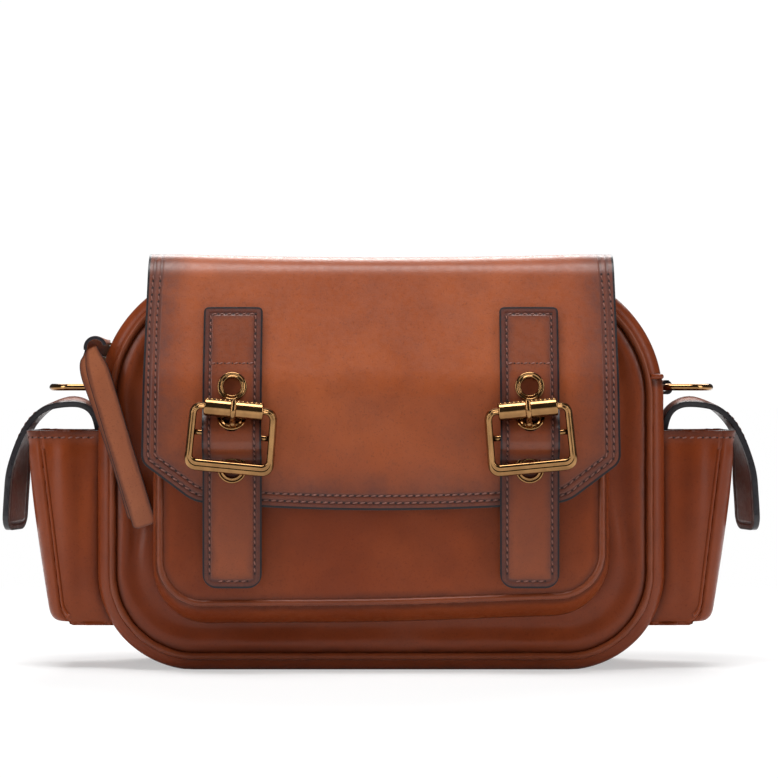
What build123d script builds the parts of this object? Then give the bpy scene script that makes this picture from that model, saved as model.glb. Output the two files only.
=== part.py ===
from build123d import *
import math
import os

# Leather sling bag with a buckled front flap, a front pocket, two side pockets, an open top zip
# and a D-ring on each side. Millimetres. X to the right, the front faces -Y, Z up, and the
# origin is at the middle of the base, on the floor.

# ---- main body ----
BODY_HALF_WIDTH = 121.5
BODY_HEIGHT = 174.0
BODY_DEPTH = 73.2
BODY_TOP_RADIUS = 58.0
BODY_BOTTOM_RADIUS = 42.0
GUSSET_WALL = 2.4
PANEL_WALL = 2.4
PANEL_PROUD = 1.0
PIPING_RADIUS = 1.5
PIPING_INSET = 1.8
PIPING_SETBACK = 0.4
LINING_WALL = 0.8
GUSSET_SEAM_HEIGHT = 125.0

# ---- zip ----
ZIP_TAPE_HALF_WIDTH = 19.5
ZIP_TAPE_WALL = 1.0
ZIP_TAPE_INSET = 0.9
SLOT_HALF_WIDTH = 8.2
SLOT_END_HALF_WIDTH = 1.6
SLOT_END_MARGIN = 2.3
SLOT_NARROW_LENGTH = 2.2
SLOT_TAPER_LENGTH = 19.0
TOOTH_LENGTH = 2.4
TOOTH_REACH = 1.6
TOOTH_HEIGHT = 2.6
TOOTH_PITCH = 5.5
TOOTH_CLEAR_OF_SLOT_END = 19.0
SLIDER_ANGLE = 20.7
SLIDER_HALF_WIDTH = 4.5
SLIDER_HALF_ANGLE = 4.4
SLIDER_PLATE = 1.6
SLIDER_TAPE_CLEARANCE = 0.3
SLIDER_POST_HALF_WIDTH = 1.2
SLIDER_POST_ANGLE = 3.5
BRIDGE_HEIGHT = 2.6
BRIDGE_BAR = 1.4
BRIDGE_HALF_WIDTH = 1.6
BRIDGE_POST = 1.2

# ---- zip pull ----
PULL_WIDTH = 10.0
PULL_THICKNESS = 3.0
PULL_ROOT_WIDTH = 5.4
PULL_LENGTH = 80.0
PULL_LEAN = 12.0
PULL_FRONT_GAP = 1.0
PULL_ROOT_LENGTH = 6.0

# ---- front flap ----
FLAP_TOP_HALF_WIDTH = 99.5
FLAP_BOTTOM_HALF_WIDTH = 101.3
FLAP_CORNER_HEIGHT = 90.0
FLAP_DIAGONAL_HALF_WIDTH = 79.0
FLAP_DIAGONAL_HEIGHT = 73.2
FLAP_LOWEST = 69.8
FLAP_LEATHER = 1.7
FLAP_LINING = 1.3
FLAP_TOP_CLEARANCE = 2.0
FLAP_FRONT_CLEARANCE = 2.1
FLAP_SHOULDER_REACH = 2.6
FLAP_SHOULDER_RADIUS = 11.0
FLAP_REAR_RADIUS = 6.0
FLAP_DRAPE_HEIGHT = 124.0
FLAP_DRAPE_RADIUS = 32.0
FLAP_REAR_LOW = 142.0

# ---- flap straps ----
STRAP_CENTRE = 62.7
STRAP_WIDTH = 25.0
STRAP_THICKNESS = 2.4
STRAP_TOP = 155.0
STRAP_LOW = 37.0
STRAP_TAIL_RADIUS = 6.0
STRAP_HEAD_RADIUS = 2.0
STRAP_RISE = 6.4
STRAP_RISE_TOP = 1.5
STRAP_RISE_LOW = 3.5
STRAP_SLOPE_TOP = 9.6
STRAP_SLOPE_LOW = 6.0
STRAP_RISE_ROUND = 2.0
STRAP_RISE_HOLLOW = 5.0
EYELET_HEIGHTS = (121.7, 107.6, 87.4)
EYELET_OUTER = 12.3
EYELET_HOLE = 7.8
EYELET_BARREL = 0.6
EYELET_FLANGE = 0.7

# ---- buckles ----
BUCKLE_TILT = 5.5
CENTRE_BAR_HEIGHT = 101.5
CENTRE_BAR_RADIUS = 1.2
CHAPE_WALL = 1.0
CHAPE_STRAP_GAP = 0.4
CHAPE_HALF_WIDTH = 11.0
CHAPE_SLOT_HALF_WIDTH = 2.0
CHAPE_FOOT_HALF_HEIGHT = 6.0
ROLLER_HEIGHT = 112.6
ROLLER_RADIUS = 3.9
ROLLER_LENGTH = 25.0
ROLLER_CLEARANCE = 0.08
ROLLER_STRAP_GAP = 2.8
AXLE_RADIUS = 1.5
BOTTOM_BAR_HEIGHT = 88.0
BOTTOM_BAR_TALL = 5.0
BOTTOM_BAR_THICKNESS = 3.3
BOTTOM_BAR_STRAP_GAP = 1.3
SIDE_BAR = 3.3
FRAME_TOP_INNER_HALF = 14.2
FRAME_BOTTOM_INNER_HALF = 15.6
PRONG_THICKNESS = 1.8
PRONG_HALF_WIDTH = 1.15
PRONG_EYE_RADIUS = 1.9
PRONG_EYE_HALF_WIDTH = 1.6
PRONG_CLEARANCE = 0.05
PRONG_ROLLER_GAP = 0.8
PRONG_KNEE_GAP = 1.4
PRONG_KNEE_LEAD = 0.4

# ---- front pocket ----
POCKET_HALF_WIDTH = 95.0
POCKET_LOW = 30.0
POCKET_TOP = 108.0
POCKET_RADIUS = 20.0
POCKET_DEPTH = 19.2
POCKET_SEAM_HALF_WIDTH = 97.0
POCKET_SEAM_LOW = 21.0
POCKET_SEAM_RADIUS = 23.0
POCKET_WALL = 1.8
POCKET_PIPING_RADIUS = 1.4
POCKET_PANEL_PROUD = 1.6

# ---- magnetic snaps under the strap tails ----
SNAP_HEIGHT = 48.0
SNAP_RADIUS = 8.0
SNAP_CLEARANCE = 0.3
SNAP_POCKET_HALF = 2.3

# ---- side pockets ----
SIDE_POCKET_HALF_DEPTH = 30.0
SIDE_POCKET_RIM = 103.0
SIDE_POCKET_TOP_REACH = 32.0
SIDE_POCKET_LOW_REACH = 22.5
SIDE_POCKET_LOW = 20.0
SIDE_POCKET_TOE = 26.0
SIDE_POCKET_TOE_REACH = 16.0
SIDE_POCKET_WALL = 1.8

# ---- D-rings and their tabs ----
RING_HEIGHT = 121.8
RING_WIRE = 1.5
RING_REACH = 20.0
RING_HALF_DEPTH = 12.0
TAB_WALL = 1.6
TAB_CLEARANCE = 0.1
TAB_HALF_DEPTH = 8.0
TAB_LOW = 109.0

# ---- side pocket straps ----
SIDE_STRAP_WALL = 2.8
SIDE_STRAP_HALF_DEPTH = 13.0
SIDE_STRAP_LOW = 86.0
SIDE_STRAP_LEAVE = 104.0
SIDE_STRAP_RING_GAP = 0.3
SIDE_STRAP_CREST_IN = 9.8
SIDE_STRAP_SHOULDER = 27.0
SIDE_STRAP_DROP = 39.0
SIDE_STRAP_DROP_HEIGHT = 100.0
SIDE_STRAP_END = 59.0
SIDE_STRAP_END_RADIUS = 7.0
SIDE_STRAP_JOINT = 27.0

# ---- sizes that follow from those above ----
GUSSET_FRONT = -BODY_DEPTH / 2
GUSSET_BACK = BODY_DEPTH / 2
PANEL_FRONT = GUSSET_FRONT - PANEL_PROUD
PANEL_BACK = GUSSET_BACK + PANEL_PROUD
PIPING_FRONT = PANEL_FRONT + PIPING_SETBACK
PIPING_BACK = PANEL_BACK - PIPING_SETBACK
PIPING_FACE = PIPING_FRONT - PIPING_RADIUS
CORNER_X = BODY_HALF_WIDTH - BODY_TOP_RADIUS
CORNER_Z = BODY_HEIGHT - BODY_TOP_RADIUS
SLOT_HALF_LENGTH = BODY_HALF_WIDTH - SLOT_END_MARGIN
POCKET_FRONT = PANEL_FRONT - POCKET_DEPTH
POCKET_FACE = POCKET_FRONT - POCKET_PANEL_PROUD
FLAP_THICKNESS = FLAP_LEATHER + FLAP_LINING
FLAP_TOP_INSIDE = BODY_HEIGHT + FLAP_TOP_CLEARANCE
FLAP_FRONT_INSIDE = POCKET_FACE - FLAP_FRONT_CLEARANCE
FLAP_FRONT_OUTSIDE = FLAP_FRONT_INSIDE - FLAP_THICKNESS
FLAP_HINGE_Y = PANEL_BACK - FLAP_REAR_RADIUS
STRAP_FACE = FLAP_FRONT_OUTSIDE - STRAP_THICKNESS
CENTRE_BAR_Y = (FLAP_FRONT_OUTSIDE - STRAP_RISE + CHAPE_STRAP_GAP + CHAPE_WALL
                + CENTRE_BAR_RADIUS)
ROLLER_Y = STRAP_FACE - ROLLER_STRAP_GAP - ROLLER_RADIUS
BOTTOM_BAR_Y = STRAP_FACE - BOTTOM_BAR_STRAP_GAP - BOTTOM_BAR_THICKNESS / 2
RING_X = BODY_HALF_WIDTH + TAB_WALL + RING_WIRE + TAB_CLEARANCE
FAR = 400.0


def along_y(face, y_low, y_high):
    """Face drawn in (x, z), made solid between two depths."""
    return extrude(Plane.XZ.offset(-y_high) * face, y_high - y_low)


def along_x(face, x_low, x_high):
    """Face drawn in (y, z), made solid between two widths."""
    return extrude(Plane.YZ.offset(x_low) * face, x_high - x_low)


def block(x_low, x_high, y_low, y_high, z_low, z_high):
    middle = Pos((x_low + x_high) / 2, (y_low + y_high) / 2, (z_low + z_high) / 2)
    return middle * Box(x_high - x_low, y_high - y_low, z_high - z_low)


def polygon(points):
    return make_face(Polyline(*points, close=True))


def body_outline(inset):
    """The front view of the main body, drawn in by an inset."""
    width = 2 * (BODY_HALF_WIDTH - inset)
    shape = Pos(0, BODY_HEIGHT / 2) * Rectangle(width, BODY_HEIGHT - 2 * inset)
    shape = fillet(shape.vertices().group_by(Axis.Y)[-1], BODY_TOP_RADIUS - inset)
    return fillet(shape.vertices().group_by(Axis.Y)[0], BODY_BOTTOM_RADIUS - inset)


def body_band(inset_out, inset_in, y_low, y_high):
    """A strip of wall that follows the whole body outline."""
    return along_y(body_outline(inset_out) - body_outline(inset_in), y_low, y_high)


def pocket_outline(half_width, low, top, radius):
    shape = Pos(0, (low + top) / 2) * Rectangle(2 * half_width, top - low)
    return fillet(shape.vertices().group_by(Axis.Y)[0], radius)


def ring_about_y(x, z, radius_in, radius_out, angle_low, angle_high, y_low, y_high):
    """Part of a ring about an axis along Y on the left, angles from -X towards +Z."""
    disc = Circle(radius_out) - Circle(radius_in)
    reach = 3 * radius_out
    low = math.radians(180 - angle_low)
    high = math.radians(180 - angle_high)
    wedge = polygon([(0, 0), (reach * math.cos(low), reach * math.sin(low)),
                     (reach * math.cos(high), reach * math.sin(high))])
    return along_y(Pos(x, z) * (disc & wedge), y_low, y_high)


def main_body():
    """Panels, gussets, piping and lining of the main compartment."""
    bead_line = body_outline(PIPING_INSET).face().outer_wire()
    nodes = {}
    beads = {}
    for name, depth in (("front_piping", PIPING_FRONT), ("back_piping", PIPING_BACK)):
        path = Plane.XZ.offset(-depth) * bead_line
        start = path @ 0
        section = Plane(origin=start, z_dir=path % 0) * Circle(PIPING_RADIUS)
        beads[name] = sweep(section, path=path)
    both_beads = beads["front_piping"] + beads["back_piping"]

    gusset = body_band(0, GUSSET_WALL, GUSSET_FRONT, GUSSET_BACK) - both_beads
    below = block(-FAR, FAR, -FAR, FAR, -FAR, GUSSET_SEAM_HEIGHT)
    nodes["lower_gusset"] = gusset & below
    upper = gusset - below
    nodes["upper_gusset_front"] = upper & block(-FAR, FAR, -FAR, -ZIP_TAPE_HALF_WIDTH, 0, FAR)
    nodes["upper_gusset_back"] = upper & block(-FAR, FAR, ZIP_TAPE_HALF_WIDTH, FAR, 0, FAR)

    panel = body_outline(PIPING_INSET)
    front = along_y(panel, PANEL_FRONT, PANEL_FRONT + PANEL_WALL)
    back = along_y(panel, PANEL_BACK - PANEL_WALL, PANEL_BACK)
    nodes["front_panel"] = front - beads["front_piping"] - gusset
    nodes["back_panel"] = back - beads["back_piping"] - gusset

    inside_front = PANEL_FRONT + PANEL_WALL
    inside_back = PANEL_BACK - PANEL_WALL
    lining = along_y(body_outline(GUSSET_WALL), inside_front, inside_back)
    lining -= along_y(body_outline(GUSSET_WALL + LINING_WALL),
                      inside_front + LINING_WALL, inside_back - LINING_WALL)
    nodes["lining"] = lining - block(-FAR, FAR, -ZIP_TAPE_HALF_WIDTH, ZIP_TAPE_HALF_WIDTH,
                                     GUSSET_SEAM_HEIGHT, FAR)
    nodes.update(beads)
    return nodes


def slot_half_width(x):
    """Half the gap between the two zip tapes at a width."""
    from_end = SLOT_HALF_LENGTH - abs(x)
    share = (from_end - SLOT_NARROW_LENGTH) / (SLOT_TAPER_LENGTH - SLOT_NARROW_LENGTH)
    share = min(max(share, 0.0), 1.0)
    return SLOT_END_HALF_WIDTH + share * (SLOT_HALF_WIDTH - SLOT_END_HALF_WIDTH)


def zip_slot():
    stations = [SLOT_HALF_LENGTH, SLOT_HALF_LENGTH - SLOT_NARROW_LENGTH,
                SLOT_HALF_LENGTH - SLOT_TAPER_LENGTH]
    right = [(x, slot_half_width(x)) for x in stations]
    left = [(-x, width) for x, width in reversed(right)]
    upper_side = right + left
    lower_side = [(x, -width) for x, width in reversed(upper_side)]
    slot = polygon(upper_side + lower_side)
    return extrude(Plane.XY.offset(GUSSET_SEAM_HEIGHT + 1) * slot, FAR)


def zip_stations():
    """Middle of each tooth on the tape line: x, z and the outward direction."""
    radius = BODY_TOP_RADIUS - ZIP_TAPE_INSET - ZIP_TAPE_WALL / 2
    limit = SLOT_HALF_LENGTH - TOOTH_CLEAR_OF_SLOT_END
    arc = radius * math.asin((limit - CORNER_X) / radius)
    half_length = CORNER_X + arc
    count = int(2 * half_length / TOOTH_PITCH)
    places = []
    for index in range(count + 1):
        run = (index - count / 2) * TOOTH_PITCH
        turn = max(abs(run) - CORNER_X, 0) / radius
        side = 1 if run > 0 else -1
        x = side * (min(abs(run), CORNER_X) + radius * math.sin(turn))
        z = CORNER_Z + radius * math.cos(turn)
        places.append((x, z, side * math.degrees(turn)))
    return places


def zip_pieces():
    """Two tapes with an open slot between them and a row of teeth along each."""
    tape = body_band(ZIP_TAPE_INSET, ZIP_TAPE_INSET + ZIP_TAPE_WALL,
                     -ZIP_TAPE_HALF_WIDTH, ZIP_TAPE_HALF_WIDTH)
    tape -= block(-FAR, FAR, -FAR, FAR, -FAR, GUSSET_SEAM_HEIGHT)
    tape -= zip_slot()
    nodes = {
        "zip_tape_front": tape & block(-FAR, FAR, -FAR, 0, 0, FAR),
        "zip_tape_back": tape & block(-FAR, FAR, 0, FAR, 0, FAR),
    }
    for side, name in ((-1, "front"), (1, "back")):
        teeth = []
        for x, z, tilt in zip_stations():
            place = Pos(x, side * slot_half_width(x), z) * Rot(0, tilt, 0)
            tooth = place * Box(TOOTH_LENGTH, 2 * TOOTH_REACH, TOOTH_HEIGHT)
            teeth.append(tooth - nodes["zip_tape_" + name])
        nodes["zip_teeth_" + name] = Compound(children=[t.solid() for t in teeth])
    return nodes


def zip_slider_pieces():
    """Slider at the left end of the zip, and its leather pull in two lengths."""
    outer_face = BODY_TOP_RADIUS - ZIP_TAPE_INSET + SLIDER_TAPE_CLEARANCE
    inner_face = BODY_TOP_RADIUS - ZIP_TAPE_INSET - ZIP_TAPE_WALL - SLIDER_TAPE_CLEARANCE
    top_face = outer_face + SLIDER_PLATE
    low = SLIDER_ANGLE - SLIDER_HALF_ANGLE
    high = SLIDER_ANGLE + SLIDER_HALF_ANGLE

    def part(radius_in, radius_out, angle_low, angle_high, half_width):
        return ring_about_y(-CORNER_X, CORNER_Z, radius_in, radius_out, angle_low, angle_high,
                            -half_width, half_width)

    slider = part(outer_face, top_face, low, high, SLIDER_HALF_WIDTH)
    slider += part(inner_face - SLIDER_PLATE, inner_face, low, high, SLIDER_HALF_WIDTH)
    slider += part(inner_face - 0.1, outer_face + 0.1, high - SLIDER_POST_ANGLE, high,
                   SLIDER_POST_HALF_WIDTH)
    root_half_angle = math.degrees(PULL_ROOT_WIDTH / 2 / top_face)
    post_angle = math.degrees(BRIDGE_POST / top_face)
    bar_inside = top_face + BRIDGE_HEIGHT
    bar_outside = bar_inside + BRIDGE_BAR
    for start in (SLIDER_ANGLE - root_half_angle - post_angle, SLIDER_ANGLE + root_half_angle):
        slider += part(top_face - 0.1, bar_outside, start, start + post_angle, BRIDGE_HALF_WIDTH)
    slider += part(bar_inside, bar_outside, SLIDER_ANGLE - root_half_angle - post_angle,
                   SLIDER_ANGLE + root_half_angle + post_angle, BRIDGE_HALF_WIDTH)

    fold_y = PIPING_FACE - PULL_FRONT_GAP - PULL_THICKNESS
    wide_half_angle = math.degrees(PULL_WIDTH / 2 / top_face)
    root = ring_about_y(-CORNER_X, CORNER_Z, top_face, bar_inside,
                        SLIDER_ANGLE - root_half_angle, SLIDER_ANGLE + root_half_angle,
                        -PULL_ROOT_LENGTH, SLIDER_HALF_WIDTH)
    leg = ring_about_y(-CORNER_X, CORNER_Z, top_face, bar_inside,
                       SLIDER_ANGLE - wide_half_angle, SLIDER_ANGLE + wide_half_angle,
                       fold_y + PULL_THICKNESS, -PULL_ROOT_LENGTH)
    corner = math.radians(SLIDER_ANGLE)
    fold_radius = (top_face + bar_inside) / 2
    fold_x = -CORNER_X - fold_radius * math.cos(corner)
    fold_z = CORNER_Z + fold_radius * math.sin(corner)
    pad = Circle(PULL_WIDTH / 2)
    fold = along_y(Pos(fold_x, fold_z) * pad, fold_y, fold_y + PULL_THICKNESS)
    cut = block(-FAR, FAR, -FAR, FAR, -FAR, 0)
    hinge_plane = Pos(fold_x, 0, fold_z) * Rot(0, -PULL_LEAN, 0)
    fold -= hinge_plane * cut
    tail = Pos(0, -PULL_LENGTH / 2) * RectangleRounded(PULL_WIDTH, PULL_LENGTH, PULL_WIDTH * 0.49)
    tail = along_y(tail, fold_y, fold_y + PULL_THICKNESS) & block(-FAR, FAR, -FAR, FAR, -FAR, -0.01)
    top_fill = along_y(Pos(0, -PULL_WIDTH / 2) * Rectangle(PULL_WIDTH, PULL_WIDTH), fold_y,
                       fold_y + PULL_THICKNESS)
    tail = (tail + top_fill) & block(-FAR, FAR, -FAR, FAR, -FAR, -0.01)
    return {
        "zip_slider": slider,
        "zip_pull_loop": root + leg + fold,
        "zip_pull": hinge_plane * tail,
    }


def right_of(start, end):
    """Unit vector to the right of a run from start to end."""
    run = math.dist(start, end)
    return ((end[1] - start[1]) / run, (start[0] - end[0]) / run)


def corner_out(points, index, outward):
    """A corner of a run, moved out so that both its lines lie further right by an amount."""
    before = right_of(points[max(index - 1, 0)], points[max(index, 1)])
    after = right_of(points[min(index, len(points) - 2)],
                     points[min(index + 1, len(points) - 1)])
    scale = outward / (1 + before[0] * after[0] + before[1] * after[1])
    return (points[index][0] + scale * (before[0] + after[0]),
            points[index][1] + scale * (before[1] + after[1]))


def grown_region(points, radii, outward):
    """Region left of a run of filleted lines, grown to the right of them by an amount.

    A negative radius marks a hollow corner, whose fillet gets tighter as the region grows.
    """
    grown = [corner_out(points, index, outward) for index in range(len(points))]
    fillets = [abs(radius + outward) for radius in radii]
    line = FilletPolyline(*grown, radius=fillets)
    return make_face(line + Line(grown[-1], grown[0]))


def flap_line():
    """Inside face of the flap in side view, from the back over the top to the front."""
    points = [(PANEL_BACK, 0), (PANEL_BACK, FLAP_TOP_INSIDE),
              (PIPING_FACE - FLAP_SHOULDER_REACH, FLAP_TOP_INSIDE),
              (FLAP_FRONT_INSIDE, FLAP_DRAPE_HEIGHT), (FLAP_FRONT_INSIDE, 0)]
    return points, [FLAP_REAR_RADIUS, FLAP_SHOULDER_RADIUS, FLAP_DRAPE_RADIUS]


def flap_region(outward):
    """Side view of everything inside the flap, grown outward by an amount."""
    points, radii = flap_line()
    return grown_region(points, radii, outward)


def flap_outline():
    lines = Polyline(
        (-FLAP_DIAGONAL_HALF_WIDTH, FLAP_DIAGONAL_HEIGHT),
        (-FLAP_BOTTOM_HALF_WIDTH, FLAP_CORNER_HEIGHT),
        (-FLAP_TOP_HALF_WIDTH, BODY_HEIGHT + 20),
        (FLAP_TOP_HALF_WIDTH, BODY_HEIGHT + 20),
        (FLAP_BOTTOM_HALF_WIDTH, FLAP_CORNER_HEIGHT),
        (FLAP_DIAGONAL_HALF_WIDTH, FLAP_DIAGONAL_HEIGHT))
    bottom = ThreePointArc((FLAP_DIAGONAL_HALF_WIDTH, FLAP_DIAGONAL_HEIGHT), (0, FLAP_LOWEST),
                           (-FLAP_DIAGONAL_HALF_WIDTH, FLAP_DIAGONAL_HEIGHT))
    return make_face(lines + bottom)


def flap_pieces(back_of_body):
    """Flap leather and lining, each in a fixed rear length and a moving length."""
    outline = along_y(flap_outline(), -FAR, FAR)
    layers = {
        "flap_lining": flap_region(FLAP_LINING) - flap_region(0),
        "flap": flap_region(FLAP_THICKNESS) - flap_region(FLAP_LINING),
    }
    front = block(-FAR, FAR, -FAR, FLAP_HINGE_Y, 0, FAR)
    rear = block(-FAR, FAR, FLAP_HINGE_Y, FAR, FLAP_REAR_LOW, FAR)
    nodes = {}
    for name, side_view in layers.items():
        layer = along_x(side_view, -FAR / 2, FAR / 2) & outline
        nodes[name] = layer & front
        nodes[name.replace("flap", "flap_rear")] = (layer & rear) - back_of_body
    return nodes


def strap_region(outward):
    """Side view of everything behind a strap, with its rise over the buckle's centre bar."""
    face = FLAP_FRONT_OUTSIDE
    high = CENTRE_BAR_HEIGHT + STRAP_RISE_TOP
    low = CENTRE_BAR_HEIGHT - STRAP_RISE_LOW
    points, radii = flap_line()
    run = [corner_out(points, index, FLAP_THICKNESS) for index in range(len(points) - 1)]
    run += [(face, high + STRAP_SLOPE_TOP), (face - STRAP_RISE, high),
           (face - STRAP_RISE, low), (face, low - STRAP_SLOPE_LOW), (face, 0)]
    turns = [radius + FLAP_THICKNESS for radius in radii]
    turns += [-STRAP_RISE_HOLLOW, STRAP_RISE_ROUND, STRAP_RISE_ROUND, -STRAP_RISE_HOLLOW]
    return grown_region(run, turns, outward)


def strap_pieces(centre, side):
    """One strap with its row of eyelets."""
    half = STRAP_WIDTH / 2
    inner = strap_region(0)
    outer = strap_region(STRAP_THICKNESS)
    outline = Pos(centre, (STRAP_TOP + STRAP_LOW) / 2) * Rectangle(STRAP_WIDTH,
                                                                   STRAP_TOP - STRAP_LOW)
    outline = fillet(outline.vertices().group_by(Axis.Y)[-1], STRAP_HEAD_RADIUS)
    outline = fillet(outline.vertices().group_by(Axis.Y)[0], STRAP_TAIL_RADIUS)
    front_half = along_y(outline, -FAR, 0)
    leather = along_x(outer - inner, centre - half, centre + half) & front_half
    skin = along_x(strap_region(STRAP_THICKNESS + EYELET_FLANGE) - outer,
                   centre - half, centre + half)
    eyelets = []
    hole = EYELET_HOLE / 2
    for height in EYELET_HEIGHTS:
        barrel_disc = Pos(centre, height) * Circle(hole + EYELET_BARREL)
        open_disc = Pos(centre, height) * Circle(hole)
        rim_disc = Pos(centre, height) * Circle(EYELET_OUTER / 2)
        barrel = leather & along_y(barrel_disc - open_disc, -FAR, 0)
        flange = skin & along_y(rim_disc - open_disc, -FAR, 0)
        eyelets.append((barrel + flange).solid())
        leather -= along_y(barrel_disc, -FAR, 0)
    return {
        "strap_" + side: leather,
        "eyelets_" + side: Compound(children=eyelets),
    }


def rod_x(y, z, radius, x_low, x_high):
    return along_x(Pos(y, z) * Circle(radius), x_low, x_high)


def buckle_pieces(centre, side, tilt):
    """Frame with its centre bar, roller, prong and the chape that holds the centre bar."""
    top_half = FRAME_TOP_INNER_HALF
    low_half = FRAME_BOTTOM_INNER_HALF
    thick = BOTTOM_BAR_THICKNESS / 2
    low_z = BOTTOM_BAR_HEIGHT - BOTTOM_BAR_TALL / 2
    high_z = ROLLER_HEIGHT + AXLE_RADIUS + 0.8
    lean = (ROLLER_Y - BOTTOM_BAR_Y) / (ROLLER_HEIGHT - BOTTOM_BAR_HEIGHT)

    def plane_y(z):
        return BOTTOM_BAR_Y + lean * (z - BOTTOM_BAR_HEIGHT)

    outer = polygon([
        (-low_half - SIDE_BAR, low_z), (low_half + SIDE_BAR, low_z),
        (top_half + SIDE_BAR, high_z), (-top_half - SIDE_BAR, high_z)])
    outer = fillet(outer.vertices(), 2.6)
    inner = polygon([
        (-low_half, low_z + BOTTOM_BAR_TALL), (low_half, low_z + BOTTOM_BAR_TALL),
        (top_half, high_z + 5), (-top_half, high_z + 5)])
    side_view = polygon([
        (plane_y(low_z) - thick, low_z), (plane_y(low_z) + thick, low_z),
        (plane_y(high_z) + thick, high_z), (plane_y(high_z) - thick, high_z)])
    frame = along_y(outer - inner, -FAR, 0) & along_x(side_view, -FAR / 2, FAR / 2)
    frame += rod_x(ROLLER_Y, ROLLER_HEIGHT, AXLE_RADIUS, -top_half - 1, top_half + 1)
    bar_half = top_half + 1.6
    frame += rod_x(CENTRE_BAR_Y, CENTRE_BAR_HEIGHT, CENTRE_BAR_RADIUS, -bar_half, bar_half)
    for sign in (-1, 1):
        inner_x = sign * (top_half + 0.4)
        outer_x = sign * bar_half
        frame += block(min(inner_x, outer_x), max(inner_x, outer_x),
                       plane_y(CENTRE_BAR_HEIGHT), CENTRE_BAR_Y + CENTRE_BAR_RADIUS,
                       CENTRE_BAR_HEIGHT - CENTRE_BAR_RADIUS, CENTRE_BAR_HEIGHT + CENTRE_BAR_RADIUS)

    half = ROLLER_LENGTH / 2
    roller = rod_x(ROLLER_Y, ROLLER_HEIGHT, ROLLER_RADIUS, -half, half)
    roller -= rod_x(ROLLER_Y, ROLLER_HEIGHT, AXLE_RADIUS + ROLLER_CLEARANCE, -half, half)

    loop = Circle(CENTRE_BAR_RADIUS + CHAPE_WALL)
    foot_y = FLAP_FRONT_OUTSIDE - CENTRE_BAR_Y
    foot = polygon([(foot_y, -CHAPE_FOOT_HALF_HEIGHT), (foot_y, CHAPE_FOOT_HALF_HEIGHT),
                    (0, CENTRE_BAR_RADIUS), (0, -CENTRE_BAR_RADIUS)])
    chape_side = Pos(CENTRE_BAR_Y, CENTRE_BAR_HEIGHT) * (loop + foot - Circle(CENTRE_BAR_RADIUS))
    chape = along_x(chape_side, -CHAPE_HALF_WIDTH, CHAPE_HALF_WIDTH)
    chape -= block(-CHAPE_SLOT_HALF_WIDTH, CHAPE_SLOT_HALF_WIDTH, -FAR, FLAP_FRONT_OUTSIDE - 0.5,
                   0, FAR)

    front_line = ROLLER_Y - ROLLER_RADIUS - PRONG_ROLLER_GAP - PRONG_THICKNESS / 2
    knee = ROLLER_HEIGHT - ROLLER_RADIUS - PRONG_KNEE_GAP - PRONG_THICKNESS / 2
    run = [(CENTRE_BAR_Y, CENTRE_BAR_HEIGHT + 1.6), (CENTRE_BAR_Y - 0.9, knee - 1.0),
           (ROLLER_Y - PRONG_KNEE_LEAD, knee),
           (front_line - PRONG_KNEE_LEAD, ROLLER_HEIGHT - ROLLER_RADIUS / 2),
           (front_line, ROLLER_HEIGHT + ROLLER_RADIUS + 0.7)]
    prong_side = None
    for start, end in zip(run, run[1:]):
        link = prong_link(start, end)
        prong_side = link if prong_side is None else prong_side + link
    prong = along_x(prong_side, -PRONG_HALF_WIDTH, PRONG_HALF_WIDTH)
    eye = Pos(CENTRE_BAR_Y, CENTRE_BAR_HEIGHT) * Circle(PRONG_EYE_RADIUS)
    prong += along_x(eye, -PRONG_EYE_HALF_WIDTH, PRONG_EYE_HALF_WIDTH)
    prong -= rod_x(CENTRE_BAR_Y, CENTRE_BAR_HEIGHT, CENTRE_BAR_RADIUS + PRONG_CLEARANCE, -5, 5)

    turn = Pos(centre, 0, CENTRE_BAR_HEIGHT) * Rot(0, tilt, 0) * Pos(0, 0, -CENTRE_BAR_HEIGHT)
    return {
        "buckle_frame_" + side: turn * frame,
        "buckle_roller_" + side: turn * roller,
        "buckle_chape_" + side: turn * chape,
        "buckle_prong_" + side: turn * prong,
    }


def prong_link(start, end):
    """A straight length of prong with round ends, in (y, z)."""
    run = math.dist(start, end)
    angle = math.degrees(math.atan2(end[1] - start[1], end[0] - start[0]))
    middle = ((start[0] + end[0]) / 2, (start[1] + end[1]) / 2)
    shape = Rectangle(run, PRONG_THICKNESS)
    shape += Pos(-run / 2, 0) * Circle(PRONG_THICKNESS / 2)
    shape += Pos(run / 2, 0) * Circle(PRONG_THICKNESS / 2)
    return Pos(*middle) * Rot(0, 0, angle) * shape


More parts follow.
